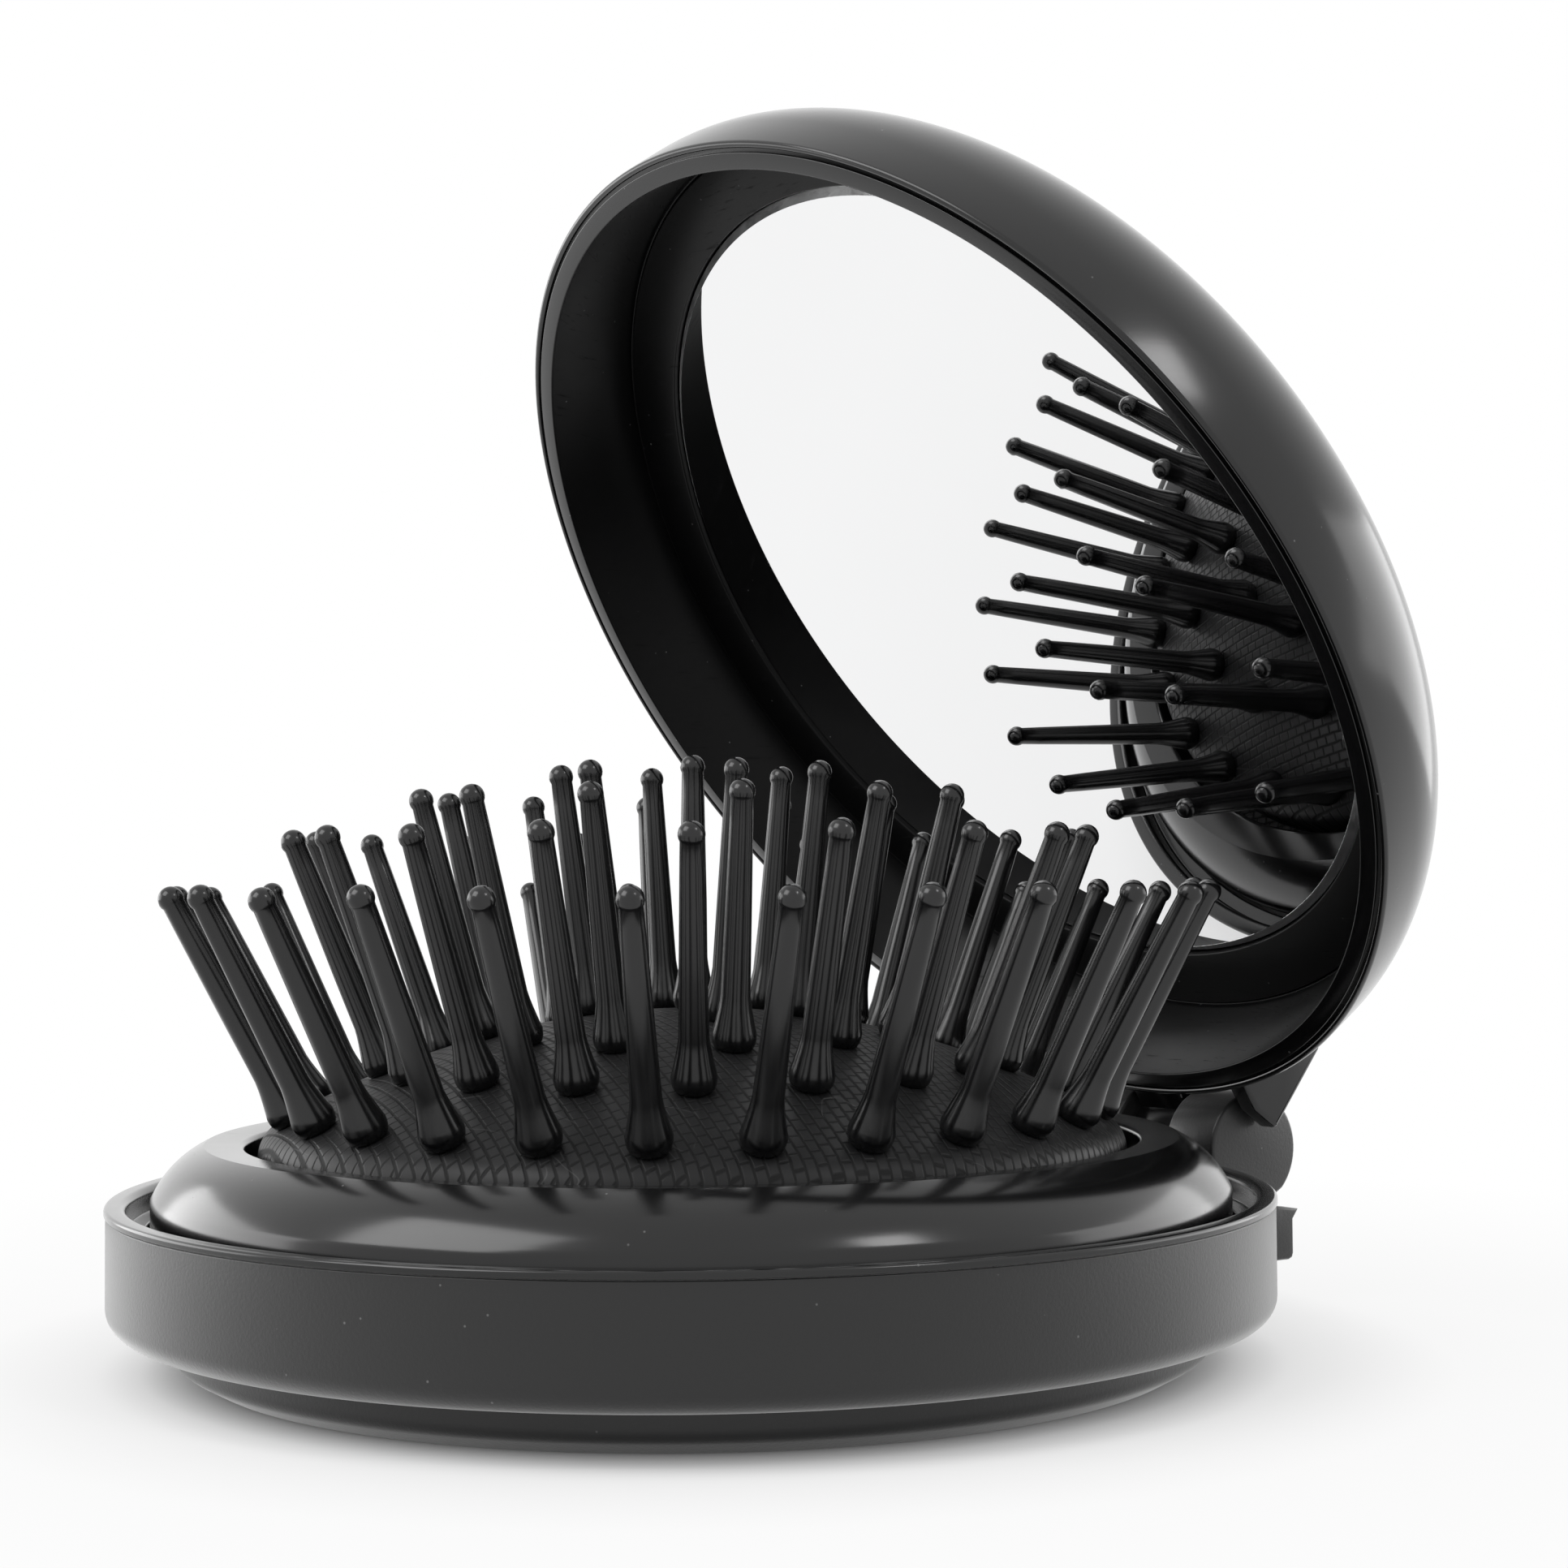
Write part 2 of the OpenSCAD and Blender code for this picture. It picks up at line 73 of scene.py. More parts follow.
FIT = 0.1 * MM  # clearance between two fitted pieces
ROOT = 0.2 * MM  # how far ears, lugs and gussets reach into the wall they grow from
SOFT = 0.12 * MM  # radius of a softened edge
CRISP = 0.1 * MM  # radius of a crisp edge
ON_AXIS = 1e-7  # a radius under this is a point on the axis
NEAR = 1e-6  # lengths closer than this count as equal
LARGEST_CUT = 0.49  # share of an edge that a rounded corner may take


def half_width(node):
    """Outer radius of a round node, from its reach along X."""
    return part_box(node)[1].x


def low(node):
    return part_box(node)[0].z


def high(node):
    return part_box(node)[1].z


# ---------------------------------------------------------------- sizes and finishes


def length(label, about, default):
    return bpy.props.FloatProperty(name=label, description=about, default=default, min=0, precision=5,
                                   subtype="DISTANCE", unit="LENGTH")


def colour(label, about, default):
    return bpy.props.FloatVectorProperty(name=label, description=about, default=default, size=4,
                                         min=0, max=1, subtype="COLOR")


def amount(label, about, default, top=1.0):
    return bpy.props.FloatProperty(name=label, description=about, default=default, min=0, max=top)


def number(label, about, default):
    return bpy.props.IntProperty(name=label, description=about, default=default, min=1)


def angle(label, about, degrees):
    return bpy.props.FloatProperty(name=label, description=about, default=math.radians(degrees),
                                   subtype="ANGLE", unit="ROTATION")


class DrumSizes(bpy.types.PropertyGroup):
    """Foot and collar, the two parts of the drum that show"""
    foot_r: length("Foot radius", "Radius of the foot over its tapered edge", half_width("foot_cap"))
    foot_taper: length("Foot taper", "How much narrower the foot is at the floor", 1.6 * MM)
    foot_edge_h: length("Foot edge", "Height of the foot's tapered edge", 0.9 * MM)
    foot_h: length("Foot height", "Height of the foot under the case ring", 2.5 * MM)
    floor_t: length("Foot floor", "Thickness of the foot's floor", 1.4 * MM)
    spigot_r: length("Spigot radius", "Radius of the foot's spigot inside the drum", 26.5 * MM)
    spigot_t: length("Spigot wall", "Wall of the foot's spigot", 1.1 * MM)
    collar_r: length("Collar radius", "Radius of the collar's upright base", half_width("collar"))
    slope_w: length("Collar slope", "Width of the collar's sloping face", 2.85 * MM)
    slope_h: length("Collar slope height", "Height of the collar's sloping face", 2.85 * MM)
    slope_bulge: length("Collar crown", "How far the sloping face bulges", 0.38 * MM)
    base_h: length("Collar base", "Height of the collar's upright base", 1.3 * MM)
    land: length("Collar land", "Width of the collar's top", 2.2 * MM)
    land_fall: length("Collar land's fall", "How much the top falls towards the pad", 0.1 * MM)
    skirt_in: length("Skirt inside", "Inner radius of the collar's skirt", 26.7 * MM)
    skirt_t: length("Skirt wall", "Wall of the collar's skirt", 0.8 * MM)


class PadSizes(bpy.types.PropertyGroup):
    """Domed rubber pad with its embossed grid"""
    dome_r: length("Dome radius", "Radius of curvature of the dome", 47.8 * MM)
    edge_r: length("Edge radius", "Radius of the pad's upright side", 24.4 * MM)
    rubber_t: length("Rubber", "Thickness of the rubber", 1.2 * MM)
    flange_r: length("Flange radius", "Radius of the clamped flange", half_width("cushion_pad"))
    flange_t: length("Flange", "Thickness of the clamped flange", 1.1 * MM)
    edge_round: length("Edge rounding", "Radius of the pad's rounded edge", 2.0 * MM)
    tile_w: length("Tile width", "Width of one embossed tile", 0.62 * MM)
    tile_d: length("Tile depth", "Depth of one embossed tile", 0.85 * MM)
    keep: amount("Kept height", "Share of its height that the pad keeps when pushed in", 0.44)


class BristleSizes(bpy.types.PropertyGroup):
    """Ball-tipped bristles in rows on the dome"""
    stem_l: length("Length", "From the pad to the middle of the ball", 13.8 * MM)
    ball_r: length("Ball", "Radius of the ball tip", 0.69 * MM)
    tip_r: length("Tip", "Stem radius under the ball", 0.59 * MM)
    stem_r: length("Stem", "Stem radius over the flared foot", 0.79 * MM)
    flare_r: length("Flare", "Radius of the flared foot", 1.2 * MM)
    flare_h: length("Flare height", "Height of the flared foot", 2.9 * MM)
    ridge: length("Parting ridge", "Height of the moulding ridge along the stem", 0.035 * MM)
    lean: angle("Lean", "How far a bristle may lean from square", 1.3)
    seed: number("Seed", "Seed of the leans", 7)


class CaseSizes(bpy.types.PropertyGroup):
    """Case ring, rim band and the case's half of the hinge"""
    case_r: length("Case radius", "Outer radius of the case ring", half_width("case_ring"))
    case_in: length("Case inside", "Inner radius of the case ring", 31.3 * MM)
    edge_r: length("Lower edge", "Rounding of the lower edge", 1.2 * MM)
    lip_t: length("Lip", "Thickness of the lip under the case ring", 0.8 * MM)
    lip_in: length("Lip inside", "Inner radius of the lip", 28.75 * MM)
    parting: length("Parting line", "Height of the parting line", 8.75 * MM)
    bead_w: length("Bead", "Width of the rounded bead", 1.2 * MM)
    groove_drop: length("Groove", "Depth of the groove's floor under the parting line", 0.95 * MM)
    floor_t: length("Band floor", "Thickness of the rim band's floor", 0.45 * MM)
    sleeve_in: length("Sleeve inside", "Inner radius of the rim band's sleeve", 30.4 * MM)
    sleeve_t: length("Sleeve", "Wall of the rim band's sleeve", 0.8 * MM)
    rabbet: length("Rabbet wall", "Wall left outside the rim band's floor", 0.5 * MM)
    ear_r: length("Ear radius", "Radius of the hinge's ears", 3.6 * MM)
    ear_x: length("Ear from middle", "Distance of an ear from the middle", 2.4 * MM)
    ear_w: length("Ear width", "Width of an ear", 4.3 * MM)
    lug_h: length("Lug height", "Height of a stop lug", 3.2 * MM)


class LidSizes(bpy.types.PropertyGroup):
    """Lid shell, mirror bezel and mirror, as the lid lies shut"""
    lid_r: length("Lid radius", "Outer radius of the lid", half_width("lid_shell"))
    rim_z: length("Rim height", "Height of the lid's rim when shut", 9.3 * MM)
    rim_w: length("Rim width", "Width of the flat rim", 1.7 * MM)
    lid_h: length("Lid height", "From the rim to the middle of the back", 11.15 * MM)
    shoulder: length("Shoulder", "Radius of the outer shoulder", 7.8 * MM)
    dome: length("Back dome", "How much the back domes", 0.7 * MM)
    depth: length("Depth", "From the rim to the bezel", 7.0 * MM)
    draft: length("Draft", "Draft of the inner wall", 0.4 * MM)
    groove_w: length("Groove width", "Width of the groove round the rim", 0.2 * MM)
    groove_d: length("Groove depth", "Depth of the groove round the rim", 0.3 * MM)
    bead_w: length("Rim bead", "Width of the bead outside the groove", 0.45 * MM)
    knuckle_r: length("Knuckle radius", "Radius of the middle knuckle", 3.2 * MM)
    knuckle_w: length("Knuckle width", "Width of the middle knuckle", 4.4 * MM)
    gusset_x: length("Gusset from middle", "Distance of a gusset from the middle", 6.9 * MM)
    gusset_w: length("Gusset width", "Width of a gusset", 1.6 * MM)
    gusset_h: length("Gusset height", "Height of a gusset", 6.0 * MM)
    mirror_r: length("Mirror radius", "Radius of the mirror glass", half_width("mirror_glass"))
    mirror_t: length("Mirror thickness", "Thickness of the mirror glass", 1.6 * MM)
    bevel: length("Bevel", "Width of the mirror's bevel", 0.5 * MM)
    bezel_r: length("Bezel radius", "Outer radius of the mirror bezel", half_width("mirror_bezel"))
    bezel_t: length("Bezel thickness", "Thickness of the mirror bezel", 0.9 * MM)


class Finishes(bpy.types.PropertyGroup):
    """Colours and surface of the hairbrush's materials"""
    plastic: colour("Case plastic", "Black moulded plastic", (0.003, 0.003, 0.0032, 1))
    gloss: amount("Polished roughness", "Roughness of the polished plastic", 0.13)
    satin: amount("Satin roughness", "Roughness of the satin case wall and foot", 0.3)
    nylon: colour("Bristle nylon", "Black moulded nylon", (0.005, 0.005, 0.0053, 1))
    rubber: colour("Pad rubber", "Black moulded rubber", (0.008, 0.008, 0.0083, 1))
    silver: colour("Mirror", "Silvered glass", (0.91, 0.912, 0.915, 1))
    steel: colour("Pin steel", "Drawn steel of the hinge pin", (0.5, 0.5, 0.52, 1))
    foam: colour("Foam", "Adhesive foam behind the mirror", (0.7, 0.69, 0.66, 1))


class StageSizes(bpy.types.PropertyGroup):
    """Camera, lamps and floor"""
    distance: length("Camera distance", "From the brush's axis to the camera", 151.23 * MM)
    height: length("Camera height", "Camera height over the floor", 26.64 * MM)
    around: angle("Camera angle", "Camera's angle round the brush from the front", 57.6)
    yaw: angle("Yaw", "Camera turned to the right of the axis", 1.98)
    pitch: angle("Pitch", "Camera tilted up", 2.05)
    roll: angle("Roll", "Camera rolled", -0.4)
    lens: amount("Lens", "Focal length on a 36 mm sensor", 60.72, 200)
    floor_r: length("Floor radius", "Radius of the floor", 2.0)
    key: amount("Soft lamps", "Radiance of the soft lamps", 3.2, 20)


# ---------------------------------------------------------------- profiles and meshes


def arc(centre, radius, start, end, steps):
    """Points on an arc from start to end, in degrees."""
    angles = [math.radians(start + (end - start) * i / steps) for i in range(steps + 1)]
    return [(centre[0] + radius * math.cos(a), centre[1] + radius * math.sin(a)) for a in angles]


def rounded(corners, steps=5):
    """An outline from (x, z) or (x, z, radius) corners, with a radius turned into an arc."""
    points = []
    count = len(corners)
    for i, corner in enumerate(corners):
        here = Vector(corner[:2])
        radius = corner[2] if len(corner) > 2 else 0
        if not radius:
            points.append(tuple(here))
            continue
        before = Vector(corners[i - 1][:2]) - here
        after = Vector(corners[(i + 1) % count][:2]) - here
        half = before.angle(after) / 2
        cut = min(radius / math.tan(half), before.length * LARGEST_CUT, after.length * LARGEST_CUT)
        radius = cut * math.tan(half)
        start = here + before.normalized() * cut
        end = here + after.normalized() * cut
        centre = here + (before.normalized() + after.normalized()).normalized() * (radius / math.sin(half))
        for k in range(steps + 1):
            spoke = (start - centre).normalized().slerp((end - centre).normalized(), k / steps)
            points.append(tuple(centre + spoke * radius))
    return points


def lathe(outline, segments=256):
    """A closed mesh turned from a closed half outline of (r, z) points; points on the axis become poles."""
    mesh = bmesh.new()
    rings = []
    for r, z in outline:
        if r < ON_AXIS:
            rings.append([mesh.verts.new((0, 0, z))])
            continue
        turns = [TURN * k / segments for k in range(segments)]
        rings.append([mesh.verts.new((r * math.cos(t), r * math.sin(t), z)) for t in turns])
    for one, other in zip(rings, rings[1:] + rings[:1]):
        for k in range(segments):
            corners = [one[k % len(one)], one[(k + 1) % len(one)],
                       other[(k + 1) % len(other)], other[k % len(other)]]
            corners = list(dict.fromkeys(corners))
            if len(corners) > 2:
                mesh.faces.new(corners)
    bmesh.ops.recalc_face_normals(mesh, faces=mesh.faces)
    return mesh


def prism(outline, x, width, bevel=0.25 * MM):
    """A side view of (y, z) points, width thick from x, with bevelled edges."""
    mesh = bmesh.new()
    near = [mesh.verts.new((x, y, z)) for y, z in outline]
    far = [mesh.verts.new((x + width, y, z)) for y, z in outline]
    caps = [mesh.faces.new(near), mesh.faces.new(far)]
    for k in range(len(outline)):
        after = (k + 1) % len(outline)
        mesh.faces.new((near[k], near[after], far[after], far[k]))
    bmesh.ops.recalc_face_normals(mesh, faces=mesh.faces)
    rim = {edge for cap in caps for edge in cap.edges}
    bmesh.ops.bevel(mesh, geom=list(rim), offset=bevel, segments=3, affect="EDGES", profile=0.5)
    bmesh.ops.recalc_face_normals(mesh, faces=mesh.faces)
    return mesh


def as_mesh(made, name):
    """A mesh of what was modelled, which is then freed."""
    mesh = bpy.data.meshes.new(name)
    made.to_mesh(mesh)
    made.free()
    return mesh


def linked(name, data):
    """A new object of this data in the scene."""
    made = bpy.data.objects.new(name, data)
    bpy.context.scene.collection.objects.link(made)
    return made


def make_piece(name, parts, material, body, stands_for, place=None, sharp=32, inside=None):
    """One object from several closed meshes, placed, shaded, riding on its body.

    What inside(r, z) is true of gets the duller finish that the lid has within.
    """
    joined = bmesh.new()
    for part in parts:
        shape = as_mesh(part, name + "_part")
        joined.from_mesh(shape)
        bpy.data.meshes.remove(shape)
    whole = as_mesh(joined, name)
    if inside is not None:
        dull = whole.attributes.new("inside", "FLOAT", "POINT")
        for vert in whole.vertices:
            dull.data[vert.index].value = float(inside(math.hypot(vert.co.x, vert.co.y), vert.co.z))
    if place is not None:
        whole.transform(place)
    return add_piece(name, whole, material, body, stands_for, sharp)


def add_piece(name, mesh, material, body, stands_for, sharp):
    """An object of this mesh, shaded smooth up to the sharp angle, riding on its body."""
    mesh.shade_smooth()
    mesh.set_sharp_from_angle(angle=math.radians(sharp))
    piece = linked(name, mesh)
    piece.data.materials.clear()
    piece.data.materials.append(material)
    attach(piece, body)
    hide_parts(*stands_for)
    return piece


def lid_open():
    """Turns what is modelled with the lid shut to where the lid stands."""
    return (Matrix.Translation(HINGE) @ Matrix.Rotation(-REST_ANGLE, 4, "X")
            @ Matrix.Translation(-HINGE))


# ---------------------------------------------------------------- node graphs


def maths(operation, reflected=False):
    """A method that feeds a value and what it is given into a Math node; reflected, the value comes last."""
    def method(value, *others):
        fed = (*others, value) if reflected else (value, *others)
        return value.graph.add("ShaderNodeMath", {"operation": operation}, dict(enumerate(fed)))
    return method


class Value:
    """A node's output, with arithmetic that adds Math nodes."""

    def __init__(self, graph, socket):
        self.graph = graph
        self.socket = socket

    __add__, __radd__ = maths("ADD"), maths("ADD", reflected=True)
    __sub__, __rsub__ = maths("SUBTRACT"), maths("SUBTRACT", reflected=True)
    __mul__, __rmul__ = maths("MULTIPLY"), maths("MULTIPLY", reflected=True)
    __truediv__, __rtruediv__ = maths("DIVIDE"), maths("DIVIDE", reflected=True)
    cos, sin, arcsin = maths("COSINE"), maths("SINE"), maths("ARCSINE")
    largest, smallest = maths("MAXIMUM"), maths("MINIMUM")
    power = maths("POWER")
    over = maths("GREATER_THAN")
    wrapped = maths("FRACT")
    distance = maths("ABSOLUTE")


class Graph:
    """Adds nodes to a tree: settings first, then the values or links of its sockets."""

    def __init__(self, tree):
        self.tree = tree

    def node(self, kind, settings=None, sockets=None):
        made = self.tree.nodes.new(kind)
        for key, value in (settings or {}).items():
            if key == "ramp":
                self.fill_ramp(made, value)
            else:
                setattr(made, key, value)
        for key, value in (sockets or {}).items():
            socket = made.inputs[key]
            if isinstance(value, Value):
                self.tree.links.new(value.socket, socket)
            else:
                socket.default_value = value
        return made

    def fill_ramp(self, made, stops):
        ramp = made.color_ramp
        while len(ramp.elements) > 1:
            ramp.elements.remove(ramp.elements[-1])
        for i, (position, grey) in enumerate(stops):
            stop = ramp.elements[0] if i == 0 else ramp.elements.new(position)
            stop.position = position
            stop.color = (grey, grey, grey, 1)

    def add(self, kind, settings=None, sockets=None, output=0):
        return Value(self, self.node(kind, settings, sockets).outputs[output])

    def ramp(self, value, *stops):
        """The grey between these (position, grey) stops."""
        return self.add("ShaderNodeValToRGB", {"ramp": stops}, {0: value})

    def noise(self, where, scale, detail=3.0, rough=0.5):
        """Noise with this many waves in a metre."""
        sockets = {"Vector": where, "Scale": scale, "Detail": detail, "Roughness": rough}
        return self.add("ShaderNodeTexNoise", None, sockets)

    def mapped(self, where, scale, turn=(0, 0, 0)):
        return self.add("ShaderNodeMapping", None, {"Vector": where, "Scale": scale, "Rotation": turn})

    def mixed(self, factor, one, other):
        return self.add("ShaderNodeMix", {"data_type": "RGBA"}, {0: factor, 6: one, 7: other}, 2)


class Surface(Graph):
    """A material's graph round one Principled shader."""

    def __init__(self, name, **constants):
        self.material = bpy.data.materials.new(name)
        self.material.use_nodes = True
        super().__init__(self.material.node_tree)
        self.shader = self.tree.nodes["Principled BSDF"]
        for key, value in constants.items():
            self.shader.inputs[key.replace("_", " ")].default_value = value
        self.where = self.add("ShaderNodeTexCoord", None, None, 3)

    def feed(self, **values):
        for key, value in values.items():
            self.tree.links.new(value.socket, self.shader.inputs[key.replace("_", " ")])
        return self.material

    def bump(self, height, strength, distance, under=None):
        sockets = {"Height": height, "Strength": strength, "Distance": distance}
        if under is not None:
            sockets["Normal"] = under
        return self.add("ShaderNodeBump", None, sockets)

    def split(self, vector):
        made = self.node("ShaderNodeSeparateXYZ", None, {0: vector})
        return [Value(self, output) for output in made.outputs]


def scaled(colour_value, factor):
    return tuple(min(1.0, part * factor) for part in colour_value[:3]) + (1.0,)


DUST = (0.3, 0.3, 0.3, 1)
SCRATCH = (0.2, 0.2, 0.2, 1)

# weight of the coat, index of refraction, weight of the sheen, strength of the moulded grain
POLISHED = (0.75, 1.28, 0.0, 0.05)
SATIN = (0.1, 1.45, 1.0, 0.6)


def moulded_plastic(finish, name, gloss, look):
    """Moulded plastic: smudges in the gloss, fine scuffs, a few specks of dust, duller on the inside."""
    coat, ior, sheen, texture = look
    plastic = Surface(name, IOR=ior, Coat_Roughness=0.16, Coat_IOR=1.45,
                      Sheen_Weight=sheen, Sheen_Roughness=0.4)
    inside = plastic.add("ShaderNodeAttribute", {"attribute_name": "inside"}, None, 2)
    smudge = plastic.noise(plastic.where, 140, 4, 0.6)
    grain = plastic.noise(plastic.where, 5200, 2, 0.6)
    streaks = plastic.noise(plastic.mapped(plastic.where, (1, 1, 14), (0.3, 0.2, 0)), 420, 6, 0.65)
    scuffs = plastic.ramp(streaks, (0.0, 0.0), (0.6, 0.0), (0.68, 1.0), (1.0, 1.0))
    cells = plastic.add("ShaderNodeTexVoronoi", None, {"Vector": plastic.where, "Scale": 900})
    specks = plastic.ramp(cells, (0.0, 1.0), (0.045, 0.6), (0.07, 0.0), (1.0, 0.0))
    rare = plastic.ramp(plastic.noise(plastic.where, 260, 1), (0.0, 0.0), (0.53, 0.0), (0.58, 1.0))
    dust = specks * rare
    shade = plastic.mixed(dust * 0.5, finish.plastic, DUST)
    rough = gloss + smudge * 0.1 + scuffs * (0.05 + inside * 0.25) + dust * 0.3
    rough = rough + grain * 0.04 + inside * 0.12
    relief = plastic.bump(grain, texture, 0.02 * MM)
    return plastic.feed(Base_Color=shade, Roughness=rough, Coat_Weight=coat - inside * coat,
                        Normal=plastic.bump(streaks, 0.06, 0.05 * MM, relief))


def bristle_nylon(finish):
    """Glossy nylon with faint flow marks."""
    nylon = Surface("bristle_black_nylon", IOR=1.5)
    along = nylon.add("ShaderNodeAttribute", {"attribute_name": "along"}, None, 1)
    flow = nylon.noise(nylon.mapped(along, (1, 1, 0.03)), 4600, 2, 0.5)
    shade = nylon.mixed(flow, scaled(finish.nylon, 0.6), scaled(finish.nylon, 1.6))
    rough = 0.15 + flow * 0.12
    return nylon.feed(Base_Color=shade, Roughness=rough, Normal=nylon.bump(flow, 0.12, 0.03 * MM))


def pad_rubber(finish, pad):
    """Moulded rubber with rows of small raised tiles; alternate rows are set over by half a tile.

    The rows waver a little, and patches of fine scratches run across them; the grooves between the tiles
    carry painted shade.
    """
    grid_turn = math.radians(12)
    scratch_turn = math.radians(-50)
    rubber = Surface("pad_black_rubber", IOR=1.33)
    turned = rubber.mapped(rubber.where, (1, 1, 1), (0, 0, grid_turn))
    wobble = rubber.noise(rubber.where, 500, 2)
    x, y, _ = rubber.split(turned)
    rows = (y + wobble * (0.1 * MM)) / pad.tile_w
    shift = (rows * 0.5).wrapped().over(0.5) * 0.5
    columns = (x + wobble * (0.12 * MM)) / pad.tile_d + shift
    across = 0.5 - (rows.wrapped() - 0.5).distance()
    along = (0.5 - (columns.wrapped() - 0.5).distance()) * (pad.tile_d / pad.tile_w)
    edge = across.smallest(along)
    tile = rubber.ramp(edge, (0.0, 0.0), (0.06, 0.0), (0.16, 1.0), (1.0, 1.0))
    wear = rubber.noise(rubber.where, 300, 4, 0.6)
    drawn = rubber.mapped(rubber.where, (0.12, 1, 1), (0, 0, scratch_turn))
    lines = (rubber.noise(drawn, 420, 1, 0.4) - 0.5).distance()
    clouds = rubber.noise(rubber.where, 400, 1)
    patches = rubber.ramp(clouds, (0.0, 0.0), (0.54, 0.0), (0.62, 1.0), (1.0, 1.0))
    scratches = rubber.ramp(lines, (0.0, 1.0), (0.003, 0.8), (0.006, 0.0), (1.0, 0.0)) * patches
    # painted shade: the grooves between the tiles are painted darker and the tile tops painted lighter, in
    # place of how they are lit
    groove_shaded = rubber.mixed(tile, scaled(finish.rubber, 0.3), scaled(finish.rubber, 1.5))
    shade = rubber.mixed(scratches * 0.22, groove_shaded, SCRATCH)
    rough = 0.55 - tile * 0.2 + wear * 0.2
    grain = rubber.noise(rubber.where, 3500, 2)
    relief = rubber.bump(grain, 0.15, 0.03 * MM)
    return rubber.feed(Base_Color=shade, Roughness=rough, Normal=rubber.bump(tile, 0.6, 0.06 * MM, relief))


def mirror_silver(finish, lid):
    """Silvered glass with the faintest haze, and a ground edge that catches the light in streaks."""
    silver = Surface("mirror_silver", Metallic=1.0)
    middle = lid_open() @ Vector((0, 0, lid.rim_z + lid.depth))
    reach = silver.add("ShaderNodeVectorMath", {"operation": "DISTANCE"}, {0: silver.where, 1: middle}, 1)
    ground = reach.over(lid.mirror_r - lid.bevel)
    streaks = silver.noise(silver.where, 900, 4, 0.7)
    haze = silver.noise(silver.where, 90, 4, 0.6)
    shade = silver.mixed(haze, finish.silver, scaled(finish.silver, 0.985))
    rough = silver.ramp(haze, (0.0, 0.004), (0.6, 0.008), (0.8, 0.03)) + ground * (0.2 + streaks * 0.4)
    return silver.feed(Base_Color=shade, Roughness=rough, Normal=silver.bump(streaks * ground, 0.5, 0.1 * MM))


def drawn_steel(finish):
    """Drawn wire: fine lines round the pin."""
    steel = Surface("pin_drawn_steel", Metallic=1.0)
    lines = steel.noise(steel.mapped(steel.where, (14, 1, 1)), 900, 3)
    shade = steel.mixed(lines, scaled(finish.steel, 0.8), scaled(finish.steel, 1.1))
    return steel.feed(Base_Color=shade, Roughness=0.22 + lines * 0.2)


def adhesive_foam(finish):
    """Pale open foam."""
    foam = Surface("adhesive_foam")
    cells = foam.add("ShaderNodeTexVoronoi", None, {"Vector": foam.where, "Scale": 2200})
    shade = foam.mixed(cells, scaled(finish.foam, 0.75), finish.foam)
    return foam.feed(Base_Color=shade, Roughness=0.8 + cells * 0.15, Normal=foam.bump(cells, 0.4, 0.1 * MM))


def finish_node(node, material):
    """A carried-over frame part gets its material."""
    part = frame["nodes"][node]
    part.data.materials.clear()
    part.data.materials.append(material)


def ready(name, make, *settings):
    """A material that several pieces share, made once."""
    found = bpy.data.materials.get(name)
    return found if found else make(*settings)


def black_plastic(name, roughness, look):
    finish = bpy.context.scene.brush_finishes
    return ready(name, moulded_plastic, finish, name, getattr(finish, roughness), look)


def polished_plastic():
    return black_plastic("polished_black_plastic", "gloss", POLISHED)


def satin_plastic():
    return black_plastic("satin_black_plastic", "satin", SATIN)


# ---------------------------------------------------------------- operators


class BRUSH_OT_drum(bpy.types.Operator):
    """Foot and collar of the drum"""
    bl_idname = "brush.drum"
    bl_label = "Foot and collar"

    LEDGE_RISE = 0.2 * MM  # how far the ledge over the pad's flange lies above the collar's base
    BEND_STEPS = 12  # straight pieces that the sloping face bends in

    def execute(self, context):
        drum = context.scene.brush_drum
        plastic = polished_plastic()
        spigot_in = drum.spigot_r - drum.spigot_t
        top = high("foot_cap")
        foot = rounded([
            (0, 0), (drum.foot_r - drum.foot_taper, 0, 0.4 * MM), (drum.foot_r, drum.foot_edge_h, 0.9 * MM),
            (drum.foot_r, drum.foot_h, SOFT), (drum.spigot_r, drum.foot_h), (drum.spigot_r, top),
            (spigot_in, top), (spigot_in, drum.floor_t), (0, drum.floor_t)])
        make_piece("foot", [lathe(foot)], satin_plastic(), "brush", ["foot_cap"])
        make_piece("collar_ring", [lathe(self.collar(drum))], plastic, "brush", ["collar"])
        for node in ("drum_shell", "clamp_ring"):
            finish_node(node, plastic)
        return {"FINISHED"}

    def collar(self, drum):
        top = high("collar")
        slope_low = top - drum.slope_h
        base = slope_low - drum.base_h
        ledge = slope_low + self.LEDGE_RISE
        top_r = drum.collar_r - drum.slope_w
        mouth_r = top_r - drum.land
        bulge = drum.slope_bulge / math.hypot(drum.slope_w, drum.slope_h)
        middle = ((drum.collar_r + top_r) / 2 + bulge * drum.slope_h,
                  (slope_low + top) / 2 + bulge * drum.slope_w)
        bend = [self.curve_point((drum.collar_r, slope_low), middle, (top_r, top), k / self.BEND_STEPS)
                for k in range(1, self.BEND_STEPS)]
        skirt_out = drum.skirt_in + drum.skirt_t
        return rounded([
            (mouth_r, ledge), (mouth_r, top - drum.land_fall, 0.3 * MM), (top_r, top, CRISP)]
            + bend[::-1]
            + [(drum.collar_r, slope_low), (drum.collar_r, base), (skirt_out, base),
               (skirt_out, low("collar")), (drum.skirt_in, low("collar")), (drum.skirt_in, ledge)])

    def curve_point(self, start, middle, end, t):
        """A point on a parabola through start, middle and end."""
        weights = ((1 - t) * (1 - 2 * t), 4 * t * (1 - t), t * (2 * t - 1))
        return tuple(sum(w * p[i] for w, p in zip(weights, (start, middle, end))) for i in (0, 1))


